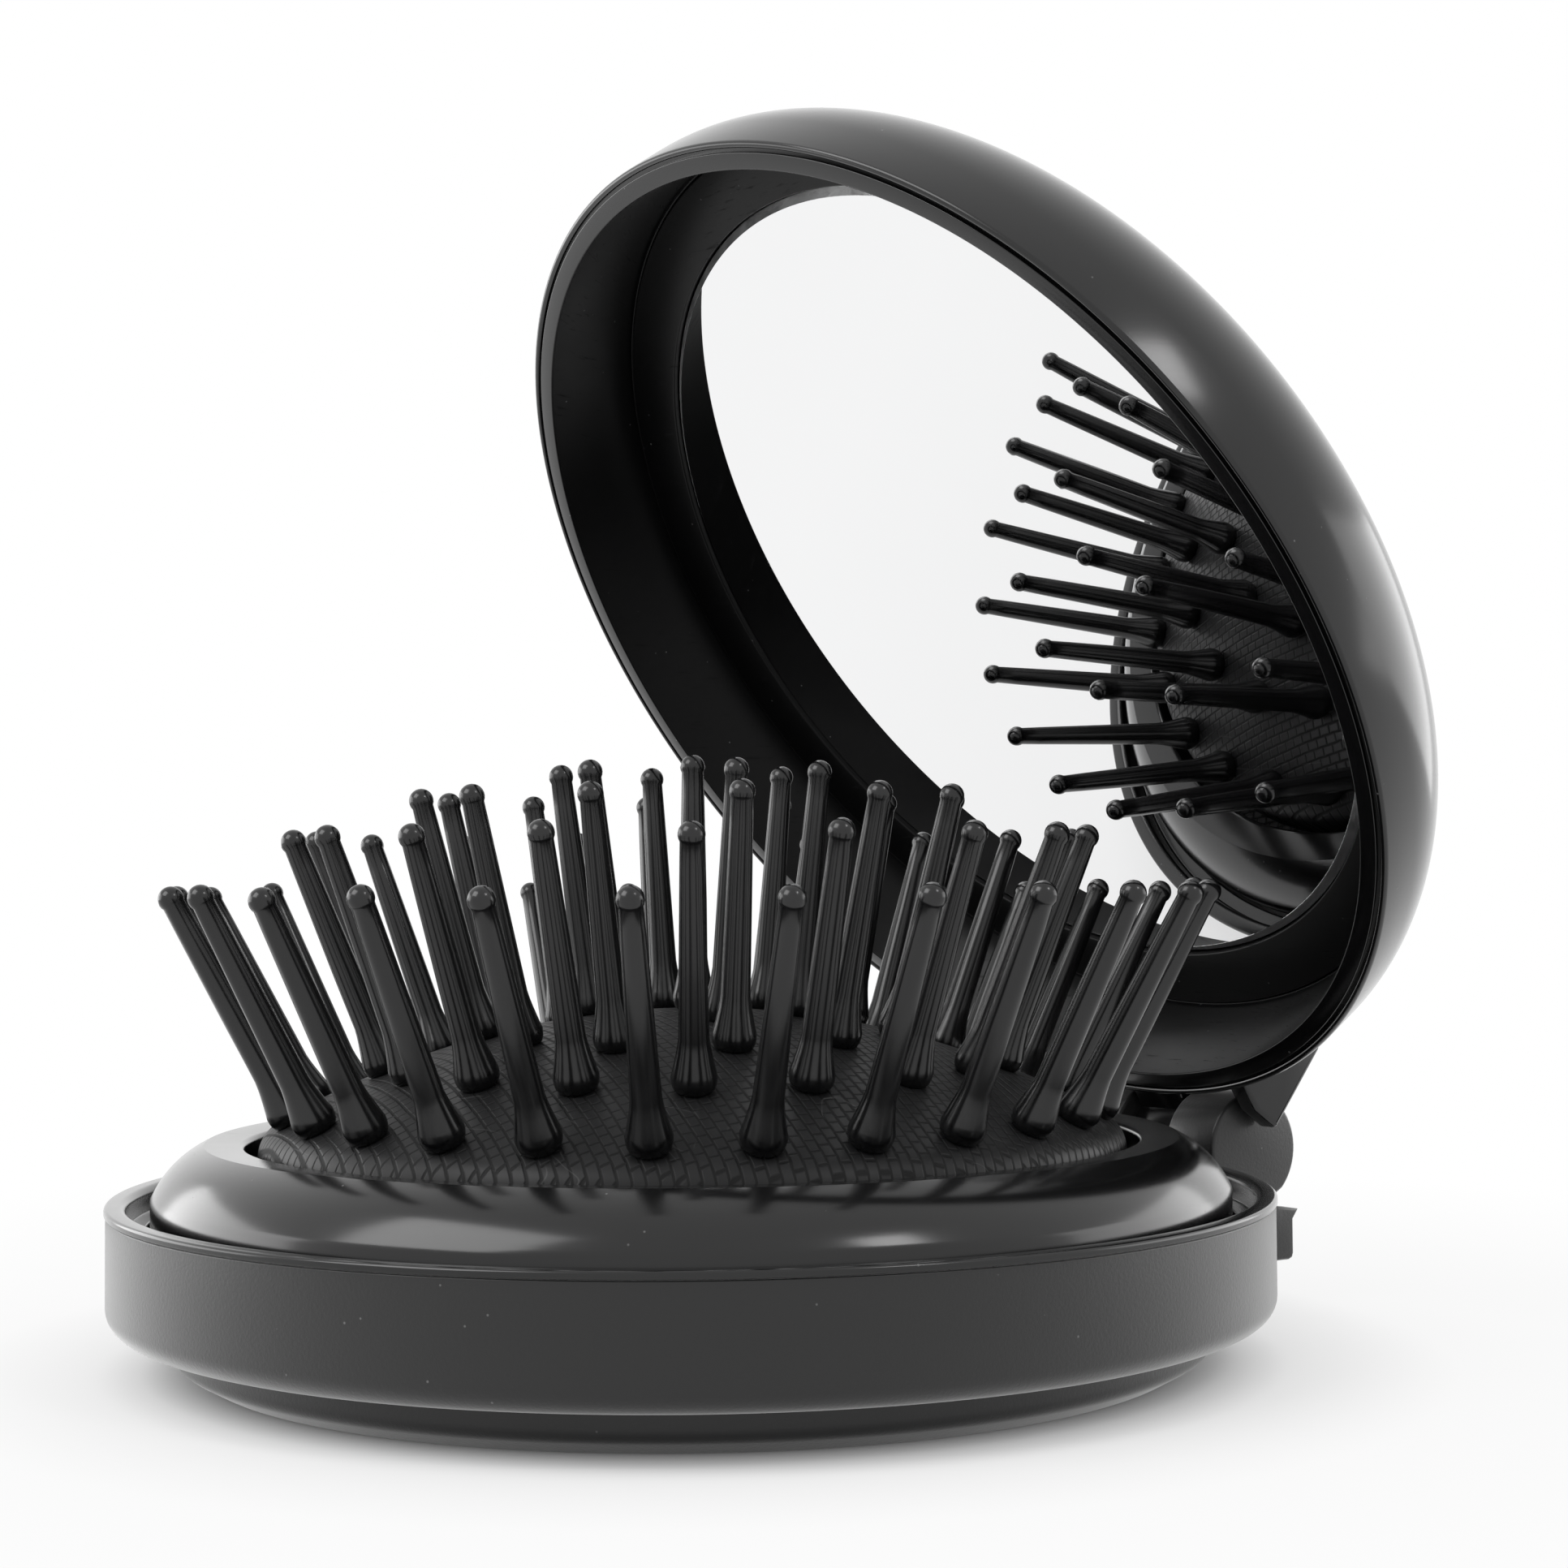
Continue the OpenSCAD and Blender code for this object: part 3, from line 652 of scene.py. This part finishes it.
class BRUSH_OT_pad(bpy.types.Operator):
    """Domed rubber pad"""
    bl_idname = "brush.pad"
    bl_label = "Cushion pad"

    SEGMENTS = 224

    def execute(self, context):
        pad = context.scene.brush_pad
        apex = high("cushion_pad")
        flange = low("cushion_pad")
        centre = (0, apex - pad.dome_r)
        across = pad.edge_r - pad.edge_round
        up = math.sqrt((pad.dome_r - pad.edge_round) ** 2 - across ** 2)
        edge_axis = (across, centre[1] + up)
        meet = math.degrees(math.atan2(up, across))
        outer = arc(centre, pad.dome_r, 90, meet, 60) + arc(edge_axis, pad.edge_round, meet, 0, 14)[1:]
        inner = (arc(edge_axis, pad.edge_round - pad.rubber_t, 0, meet, 6)
                 + arc(centre, pad.dome_r - pad.rubber_t, meet, 90, 40)[1:])
        outer[0] = (0, apex)
        inner[-1] = (0, apex - pad.rubber_t)
        outline = outer + [
            (pad.edge_r, flange + pad.flange_t), (pad.flange_r, flange + pad.flange_t),
            (pad.flange_r, flange), (pad.edge_r - pad.rubber_t, flange)] + inner
        piece = make_piece("pad_dome", [lathe(outline, self.SEGMENTS)],
                           ready("pad_black_rubber", pad_rubber, context.scene.brush_finishes, pad),
                           "brush", ["cushion_pad"], sharp=40)
        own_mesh(piece)
        return {"FINISHED"}


class BRUSH_OT_bristles(bpy.types.Operator):
    """Rows of ball-tipped bristles, square to the dome"""
    bl_idname = "brush.bristles"
    bl_label = "Bristles"

    # piece, frame node, count, radius of the row, place of its first bristle in degrees
    ROWS = (
        ("bristles_outer", "bristles_row_1", 26, 22.6 * MM, -37.9),
        ("bristles_second", "bristles_row_2", 18, 17.3 * MM, -32.4),
        ("bristles_third", "bristles_row_3", 12, 12.0 * MM, -22.4),
        ("bristles_fourth", "bristles_row_4", 6, 6.0 * MM, -16.4),
        ("bristle_middle", "bristle_centre", 1, 0.0, 0.0),
    )
    SIDES = 24
    # share of the flare's radius and height in mm, from the sunk sole up to the widest place
    SOLE = ((0.0, -0.05), (0.76, -0.05), (0.88, 0.1), (0.95, 0.27), (0.99, 0.5), (1.0, 0.75))
    FLARE_CURVE = 1.3

    def execute(self, context):
        bristle = context.scene.brush_bristles
        pad = context.scene.brush_pad
        nylon = ready("bristle_black_nylon", bristle_nylon, context.scene.brush_finishes)
        pattern = linked("bristle_pattern", self.pattern_mesh(bristle))
        tree = self.row_tree()
        for name, node, count, row_r, start in self.ROWS:
            inputs = {
                "Bristle": pattern, "Count": count, "Row Radius": row_r, "Dome Radius": pad.dome_r,
                "Dome Centre": high("cushion_pad") - pad.dome_r, "Start": math.radians(start),
                "Lean": bristle.lean, "Seed": bristle.seed + count, "Material": nylon}
            piece = add_piece(name, self.grown(context, tree, inputs), nylon, "brush",
                              [node], sharp=50)
            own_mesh(piece)
        bpy.data.objects.remove(pattern)
        return {"FINISHED"}

    def pattern_mesh(self, bristle):
        """One bristle with its foot at the origin: flared foot, tapering stem with two ridges, ball."""
        neck = math.degrees(math.acos(bristle.tip_r / bristle.ball_r))
        foot = [(bristle.flare_r * share, height * MM) for share, height in self.SOLE]
        widest = foot[-1][1]
        drop = bristle.flare_r - bristle.stem_r
        waist = [(bristle.stem_r + drop * (1 - t) ** self.FLARE_CURVE,
                  widest + (bristle.flare_h - widest) * t) for t in (0.15, 0.35, 0.6, 0.8, 1.0)]
        stem = [(bristle.stem_r + (bristle.tip_r - bristle.stem_r) * t,
                 bristle.flare_h + (bristle.stem_l - bristle.flare_h) * t) for t in (0.3, 0.6, 0.85)]
        ball = arc((0, bristle.stem_l), bristle.ball_r, -neck, 90, 9)
        ball[-1] = (0, bristle.stem_l + bristle.ball_r)
        outline = foot + waist + stem + ball
        made = lathe(outline, self.SIDES)
        for vert in made.verts:
            spoke = Vector((vert.co.x, vert.co.y))
            on_ridge = spoke.length > NEAR and abs(spoke.y) < NEAR
            if on_ridge and bristle.flare_h < vert.co.z < bristle.stem_l:
                vert.co.x += math.copysign(bristle.ridge, vert.co.x)
        mesh = as_mesh(made, "bristle_pattern")
        along = mesh.attributes.new("along", "FLOAT_VECTOR", "POINT")
        for vert in mesh.vertices:
            along.data[vert.index].vector = vert.co
        return mesh

    def row_tree(self):
        """Geometry Nodes: a row of bristles round a dome, each square to it but for a small lean."""
        tree = bpy.data.node_groups.new("bristle_row", "GeometryNodeTree")
        tree.interface.new_socket("Geometry", in_out="OUTPUT", socket_type="NodeSocketGeometry")
        for name, kind in (("Bristle", "Object"), ("Count", "Int"), ("Row Radius", "Float"),
                           ("Dome Radius", "Float"), ("Dome Centre", "Float"), ("Start", "Float"),
                           ("Lean", "Float"), ("Seed", "Int"), ("Material", "Material")):
            tree.interface.new_socket(name, in_out="INPUT", socket_type="NodeSocket" + kind)
        graph = Graph(tree)
        given = tree.nodes.new("NodeGroupInput")
        put = {socket.name: Value(graph, socket) for socket in given.outputs if socket.name}
        index = graph.add("GeometryNodeInputIndex")
        turn = put["Start"] + index * TURN / put["Count"]
        tilt = (put["Row Radius"] / put["Dome Radius"]).arcsin()
        place = graph.add("ShaderNodeCombineXYZ", None, {
            0: put["Row Radius"] * turn.cos(), 1: put["Row Radius"] * turn.sin(),
            2: put["Dome Centre"] + put["Dome Radius"] * tilt.cos()})
        points = graph.add("GeometryNodePoints", None, {"Count": put["Count"], "Position": place})
        facing = graph.add("ShaderNodeCombineXYZ", None, {1: tilt, 2: turn})
        shape = graph.add("GeometryNodeObjectInfo", None, {"Object": put["Bristle"]}, "Geometry")
        standing = graph.add("GeometryNodeInstanceOnPoints", None, {
            "Points": points, "Instance": shape, "Rotation": facing})
        leans = [self.random(graph, put, index, axis) * put["Lean"] for axis in (0, 1)]
        spin = self.random(graph, put, index, 2) * TURN
        lean = graph.add("ShaderNodeCombineXYZ", None, {0: leans[0], 1: leans[1], 2: spin})
        leaning = graph.add("GeometryNodeRotateInstances", None, {
            "Instances": standing, "Rotation": lean, "Local Space": True})
        real = graph.add("GeometryNodeRealizeInstances", None, {"Geometry": leaning})
        done = graph.add("GeometryNodeSetMaterial", None, {"Geometry": real, "Material": put["Material"]})
        leave = tree.nodes.new("NodeGroupOutput")
        tree.links.new(done.socket, leave.inputs["Geometry"])
        return tree

    def random(self, graph, put, index, offset):
        return graph.add("FunctionNodeRandomValue", {"data_type": "FLOAT"}, {
            "Min": -1.0, "Max": 1.0, "ID": index, "Seed": put["Seed"] + offset}, 1)

    def grown(self, context, tree, inputs):
        """The tree's result with these inputs, as a plain mesh."""
        seedbed = linked("row", bpy.data.meshes.new("row"))
        modifier = seedbed.modifiers.new("row", "NODES")
        modifier.node_group = tree
        for item in tree.interface.items_tree:
            if item.in_out == "INPUT":
                modifier[item.identifier] = inputs[item.name]
        context.view_layer.update()
        evaluated = seedbed.evaluated_get(context.evaluated_depsgraph_get())
        mesh = bpy.data.meshes.new_from_object(evaluated)
        bpy.data.objects.remove(seedbed)
        return mesh


class BRUSH_OT_case(bpy.types.Operator):
    """Case ring with its half of the hinge, and the rim band"""
    bl_idname = "brush.case"
    bl_label = "Case"

    BEAD_ROUND = 0.42 * MM

    def execute(self, context):
        case = context.scene.brush_case
        lid = context.scene.brush_lid
        parts = [lathe(self.ring(case))]
        ear_out = case.ear_x + case.ear_w
        lug_w = lid.gusset_w + 2 * FIT
        for ear_x, lug_x in ((-ear_out, -ear_out - FIT - lug_w), (case.ear_x, ear_out + FIT)):
            parts.append(prism(self.ear(case), ear_x, case.ear_w))
            parts.append(prism(self.lug(case, lid), lug_x, lug_w, 0.18 * MM))
        make_piece("case_wall", parts, satin_plastic(), "case", ["case_ring"])
        make_piece("bead_band", [lathe(self.band(case))], polished_plastic(), "case",
                   ["rim_band"])
        finish_node("hinge_pin", ready("pin_drawn_steel", drawn_steel, context.scene.brush_finishes))
        return {"FINISHED"}

    def ring(self, case):
        bottom = low("case_ring")
        shelf = case.parting - case.groove_drop - case.floor_t - 0.05 * MM
        rabbet_in = case.case_r - case.rabbet
        return rounded([
            (case.lip_in, bottom, 0.2 * MM), (case.case_r, bottom, case.edge_r),
            (case.case_r, case.parting, CRISP), (rabbet_in, case.parting), (rabbet_in, shelf),
            (case.case_in, shelf), (case.case_in, bottom + case.lip_t),
            (case.lip_in, bottom + case.lip_t, 0.2 * MM)], 8)

    def band(self, case):
        top = high("rim_band")
        out = half_width("rim_band")
        inside = out - case.bead_w
        floor = case.parting - case.groove_drop
        sleeve_out = case.sleeve_in + case.sleeve_t
        floor_r = case.case_r - case.rabbet - FIT
        return rounded([
            (case.sleeve_in, low("rim_band")), (case.sleeve_in, floor, SOFT), (inside, floor, SOFT),
            (inside, top, self.BEAD_ROUND), (out, top, self.BEAD_ROUND),
            (out, case.parting + 0.05 * MM, 0.04 * MM),
            (floor_r, case.parting + 0.05 * MM), (floor_r, floor - case.floor_t),
            (sleeve_out, floor - case.floor_t), (sleeve_out, low("rim_band"))], 7)

    def ear(self, case):
        root = case.case_in + ROOT
        web = low("case_ring") + 1.0 * MM
        disc = arc((HINGE.y, HINGE.z), case.ear_r, -46, 192, 40)
        return [(root, web), (case.case_r + 1.5 * MM, web)] + disc + [(root, case.parting - 0.1 * MM)]

    def lug(self, case, lid):
        """Side view of a stop lug: a bar whose end is notched under a proud lip."""
        top = low("case_ring") + case.lug_h
        low_z = low("case_ring") + 0.1 * MM
        lip = self.stop_y(lid, top) - 0.2 * MM
        root = case.case_in + ROOT
        return [(root, low_z), (lip - 0.9 * MM, low_z), (lip - 0.6 * MM, low_z + 0.12 * MM),
                (lip - 0.5 * MM, low_z + 0.4 * MM), (lip - 0.5 * MM, top - 0.6 * MM), (lip, top),
                (lip - 2 * MM, top + 0.3 * MM), (root, top + 0.3 * MM)]

    def stop_y(self, lid, height):
        """Where the fully open gusset's outer face passes a height."""
        low_end, high_end = [opened(point, OPEN_ANGLE) for point in gusset_face(lid)]
        share = (low_end[1] - height) / (low_end[1] - high_end[1])
        return low_end[0] + (high_end[0] - low_end[0]) * share


def opened(point, turn):
    """A (y, z) point of the shut lid, turned open about the hinge."""
    y, z = point[0] - HINGE.y, point[1] - HINGE.z
    cos, sin = math.cos(turn), math.sin(turn)
    return (HINGE.y + y * cos + z * sin, HINGE.z - y * sin + z * cos)


def gusset_face(lid):
    """Lower and upper ends of a gusset's outer face on the shut lid."""
    foot = lid.rim_z + 1.15 * MM
    return ((HINGE.y - 1.0 * MM, foot), (HINGE.y - 2.8 * MM, foot + lid.gusset_h))


class BRUSH_OT_lid(bpy.types.Operator):
    """Lid shell with its half of the hinge"""
    bl_idname = "brush.lid"
    bl_label = "Lid"

    POCKET_DEPTH = 2.15 * MM  # from the bezel's seat to the floor of the mirror's pocket

    def execute(self, context):
        lid = context.scene.brush_lid
        parts = [lathe(self.shell(lid)), prism(self.knuckle(lid), -lid.knuckle_w / 2, lid.knuckle_w)]
        for start in (lid.gusset_x, -lid.gusset_x - lid.gusset_w):
            parts.append(prism(self.gusset(lid), start, lid.gusset_w, 0.35 * MM))
        inner_r = lid.lid_r - lid.rim_w + 0.05 * MM
        inner_z = lid.rim_z + lid.depth + 0.3 * MM
        make_piece("lid_cover", parts, polished_plastic(), "lid", ["lid_shell"], lid_open(),
                   inside=lambda r, z: r < inner_r and z < inner_z)
        return {"FINISHED"}

    def shell(self, lid):
        rim = lid.rim_z
        back = rim + lid.lid_h
        corner = (lid.lid_r - lid.shoulder, back - lid.dome - lid.shoulder)
        back_r = (corner[0] ** 2 / lid.dome + 2 * lid.shoulder + lid.dome) / 2
        meet = math.degrees(math.atan2(corner[1] - back + back_r, corner[0]))
        crown = arc((0, back - back_r), back_r, 90, meet, 12)
        crown[0] = (0, back)
        shoulder = arc(corner, lid.shoulder, meet, 0, 40)[1:]
        bead_r = lid.bead_w / 2
        bead = arc((lid.lid_r - bead_r, rim + bead_r), bead_r, 0, -180, 8)
        groove_out = lid.lid_r - lid.bead_w
        groove_in = groove_out - lid.groove_w
        inside = lid.lid_r - lid.rim_w
        floor = rim + lid.depth
        seat = lid.bezel_r + FIT
        pocket = lid.mirror_r + 2 * FIT
        pocket_z = floor + self.POCKET_DEPTH
        inner = rounded([
            (groove_out, rim + lid.groove_d), (groove_in, rim + lid.groove_d), (groove_in, rim, 0.05 * MM),
            (inside, rim, SOFT), (inside - lid.draft, floor, CRISP), (seat, floor),
            (seat, floor + 0.15 * MM), (lid.bezel_r - 0.7 * MM, floor + lid.bezel_t + FIT),
            (pocket, floor + lid.bezel_t + FIT), (pocket, pocket_z), (0, pocket_z)])
        return crown + shoulder + bead + inner

    def knuckle(self, lid):
        rim = lid.rim_z
        root = lid.lid_r - lid.rim_w + 0.4 * MM
        disc = arc((HINGE.y, HINGE.z), lid.knuckle_r, -125, 53, 30)
        return [(root, rim + 0.4 * MM), (HINGE.y - lid.knuckle_r * 0.85, rim + 0.1 * MM)] + disc + [
            (lid.lid_r - 0.4 * MM, rim + 7 * MM), (root, rim + 6.0 * MM)]

    def gusset(self, lid):
        foot, head = gusset_face(lid)
        root = lid.lid_r - lid.rim_w + ROOT
        rim = lid.rim_z
        return rounded([
            (root, rim + 0.4 * MM), (lid.lid_r + 0.9 * MM, rim + 0.4 * MM), (*foot, 0.25 * MM),
            (*head, 0.4 * MM), (head[0] - 0.9 * MM, head[1] + 0.4 * MM),
            (root - 1.4 * MM, head[1] + 0.2 * MM)])


class BRUSH_OT_mirror(bpy.types.Operator):
    """Mirror glass, its bezel and the foam behind it"""
    bl_idname = "brush.mirror"
    bl_label = "Mirror"

    def execute(self, context):
        lid = context.scene.brush_lid
        finish = context.scene.brush_finishes
        floor = lid.rim_z + lid.depth
        inner_r = lid.mirror_r + FIT
        bezel = rounded([
            (inner_r, floor + 0.05 * MM, SOFT), (lid.bezel_r, floor - 0.15 * MM, 0.08 * MM),
            (lid.bezel_r, floor + FIT), (lid.bezel_r - 0.75 * MM, floor + lid.bezel_t),
            (inner_r, floor + lid.bezel_t)])
        make_piece("mirror_ring", [lathe(bezel)], polished_plastic(), "lid", ["mirror_bezel"],
                   lid_open(), inside=lambda r, z: True)
        front = floor + FIT
        glass = rounded([
            (0, front), (lid.mirror_r - lid.bevel, front), (lid.mirror_r, front + lid.bevel * 0.7),
            (lid.mirror_r, front + lid.mirror_t), (0, front + lid.mirror_t)])
        make_piece("mirror_disc", [lathe(glass)], ready("mirror_silver", mirror_silver, finish, lid), "lid",
                   ["mirror_glass"], lid_open(), 12)
        finish_node("mirror_foam", ready("adhesive_foam", adhesive_foam, finish))
        return {"FINISHED"}


class BRUSH_OT_stage(bpy.types.Operator):
    """Pale floor, white surroundings, soft lamps and the camera"""
    bl_idname = "brush.stage"
    bl_label = "Stage"

    # name, degrees round from the camera, height and distance in m, size in m, share of the key
    LAMPS = (
        ("lamp_left", -62, 0.34, 0.36, (0.3, 0.26), 1.25),
        ("lamp_right", 46, 0.34, 0.36, (0.09, 0.09), 2.6),
        ("lamp_left_back", -112, 0.08, 0.36, (0.36, 0.16), 0.7),
        ("lamp_right_back", 106, 0.08, 0.36, (0.36, 0.16), 0.5),
    )
    LAMP_TARGET = Vector((0, 0, 0.02))
    ROOM_LIGHT = 0.6  # how strongly the surroundings light the brush, where 1 is how they look
    FLOOR_GREY = (0.8, 0.8, 0.8, 1)
    DECIMETRES = 10  # in a metre; the glow's distances are in them
    # how much of the floor glows, by distance from the axis: none near the foot, so its shade shows
    GLOW = ((0.0, 0.0), (0.27, 0.0), (0.33, 0.6), (0.42, 0.85), (1.0, 1.0))

    def execute(self, context):
        stage = context.scene.brush_stage
        context.scene.view_settings.view_transform = "Standard"
        self.camera(context, stage)
        self.surroundings(context)
        self.floor(stage)
        for lamp in self.LAMPS:
            self.lamp(stage, *lamp)
        return {"FINISHED"}

    def camera(self, context, stage):
        lens = bpy.data.cameras.new("camera")
        lens.sensor_width = 36
        lens.lens = stage.lens
        lens.clip_start = 0.01
        camera = linked("camera", lens)
        place = Matrix.Rotation(stage.around, 4, "Z") @ Matrix.Translation((0, -stage.distance, stage.height))
        aim = (Matrix.Rotation(-stage.yaw, 4, "Z") @ Matrix.Rotation(math.pi / 2 + stage.pitch, 4, "X")
               @ Matrix.Rotation(stage.roll, 4, "Z"))
        camera.matrix_world = place @ aim
        context.scene.camera = camera

    def surroundings(self, context):
        world = bpy.data.worlds.new("white_room")
        context.scene.world = world
        world.use_nodes = True
        room = Graph(world.node_tree)
        background = world.node_tree.nodes["Background"]
        background.inputs["Color"].default_value = (1, 1, 1, 1)
        seen = self.seen(room)
        strength = self.ROOM_LIGHT + seen * (1 - self.ROOM_LIGHT)
        room.tree.links.new(strength.socket, background.inputs["Strength"])

    def seen(self, graph):
        """1 for what the camera, a gloss or a glass looks at, 0 for what lights the brush."""
        path = graph.node("ShaderNodeLightPath")
        camera, glossy, through = [Value(graph, path.outputs[name]) for name in
                                   ("Is Camera Ray", "Is Glossy Ray", "Is Transmission Ray")]
        return camera.largest(glossy).largest(through)

    def floor(self, stage):
        disc = bmesh.new()
        bmesh.ops.create_circle(disc, cap_ends=True, radius=stage.floor_r, segments=96)
        mesh = as_mesh(disc, "floor")
        floor = linked("floor", mesh)
        pale = Surface("pale_floor", Roughness=1.0, Specular_IOR_Level=0.0)
        pale.shader.inputs["Base Color"].default_value = self.FLOOR_GREY
        glow = pale.add("ShaderNodeEmission", None, {"Color": (1, 1, 1, 1), "Strength": 1.0})
        x, y, _ = pale.split(pale.where)
        reach = (x * x + y * y).power(0.5) * self.DECIMETRES
        far = pale.ramp(reach, *self.GLOW)
        share = self.seen(pale) * far
        mixed = pale.add("ShaderNodeMixShader", None, {
            0: share, 1: Value(pale, pale.shader.outputs[0]), 2: glow})
        pale.tree.links.new(mixed.socket, pale.tree.nodes["Material Output"].inputs["Surface"])
        mesh.materials.append(pale.material)

    def lamp(self, stage, name, around, height, reach, size, strength):
        light = bpy.data.lights.new(name, "AREA")
        light.shape = "RECTANGLE"
        light.size, light.size_y = size
        light.energy = stage.key * strength * math.pi * size[0] * size[1]
        lamp = linked(name, light)
        turn = stage.around + math.radians(around)
        where = Vector((reach * math.sin(turn), -reach * math.cos(turn), height))
        facing = (self.LAMP_TARGET - where).to_track_quat("-Z", "Y").to_matrix().to_4x4()
        lamp.matrix_world = Matrix.Translation(where) @ facing


class BRUSH_PT_sidebar(bpy.types.Panel):
    """Lists what builds the hairbrush"""
    bl_idname = "BRUSH_PT_sidebar"
    bl_label = "Hairbrush"
    bl_space_type = "VIEW_3D"
    bl_region_type = "UI"
    bl_category = "Hairbrush"

    def draw(self, context):
        for operator, settings in STEPS:
            self.layout.operator(operator.bl_idname)
            group = getattr(context.scene, settings)
            for name in group.__annotations__:
                self.layout.prop(group, name)


GROUPS = {
    "brush_drum": DrumSizes, "brush_pad": PadSizes, "brush_bristles": BristleSizes,
    "brush_case": CaseSizes, "brush_lid": LidSizes, "brush_finishes": Finishes, "brush_stage": StageSizes,
}
STEPS = (
    (BRUSH_OT_stage, "brush_stage"), (BRUSH_OT_drum, "brush_drum"), (BRUSH_OT_pad, "brush_pad"),
    (BRUSH_OT_bristles, "brush_bristles"), (BRUSH_OT_case, "brush_case"), (BRUSH_OT_lid, "brush_lid"),
    (BRUSH_OT_mirror, "brush_finishes"),
)


def register():
    for group in GROUPS.values():
        bpy.utils.register_class(group)
    for name, group in GROUPS.items():
        setattr(bpy.types.Scene, name, bpy.props.PointerProperty(type=group))
    for operator, _ in STEPS:
        bpy.utils.register_class(operator)
    bpy.utils.register_class(BRUSH_PT_sidebar)


def unregister():
    bpy.utils.unregister_class(BRUSH_PT_sidebar)
    for operator, _ in reversed(STEPS):
        bpy.utils.unregister_class(operator)
    for name in GROUPS:
        delattr(bpy.types.Scene, name)
    for group in GROUPS.values():
        bpy.utils.unregister_class(group)


def main():
    register()
    for operator, _ in STEPS:
        family, name = operator.bl_idname.split(".")
        getattr(getattr(bpy.ops, family), name)()


if __name__ == "__main__":
    main()
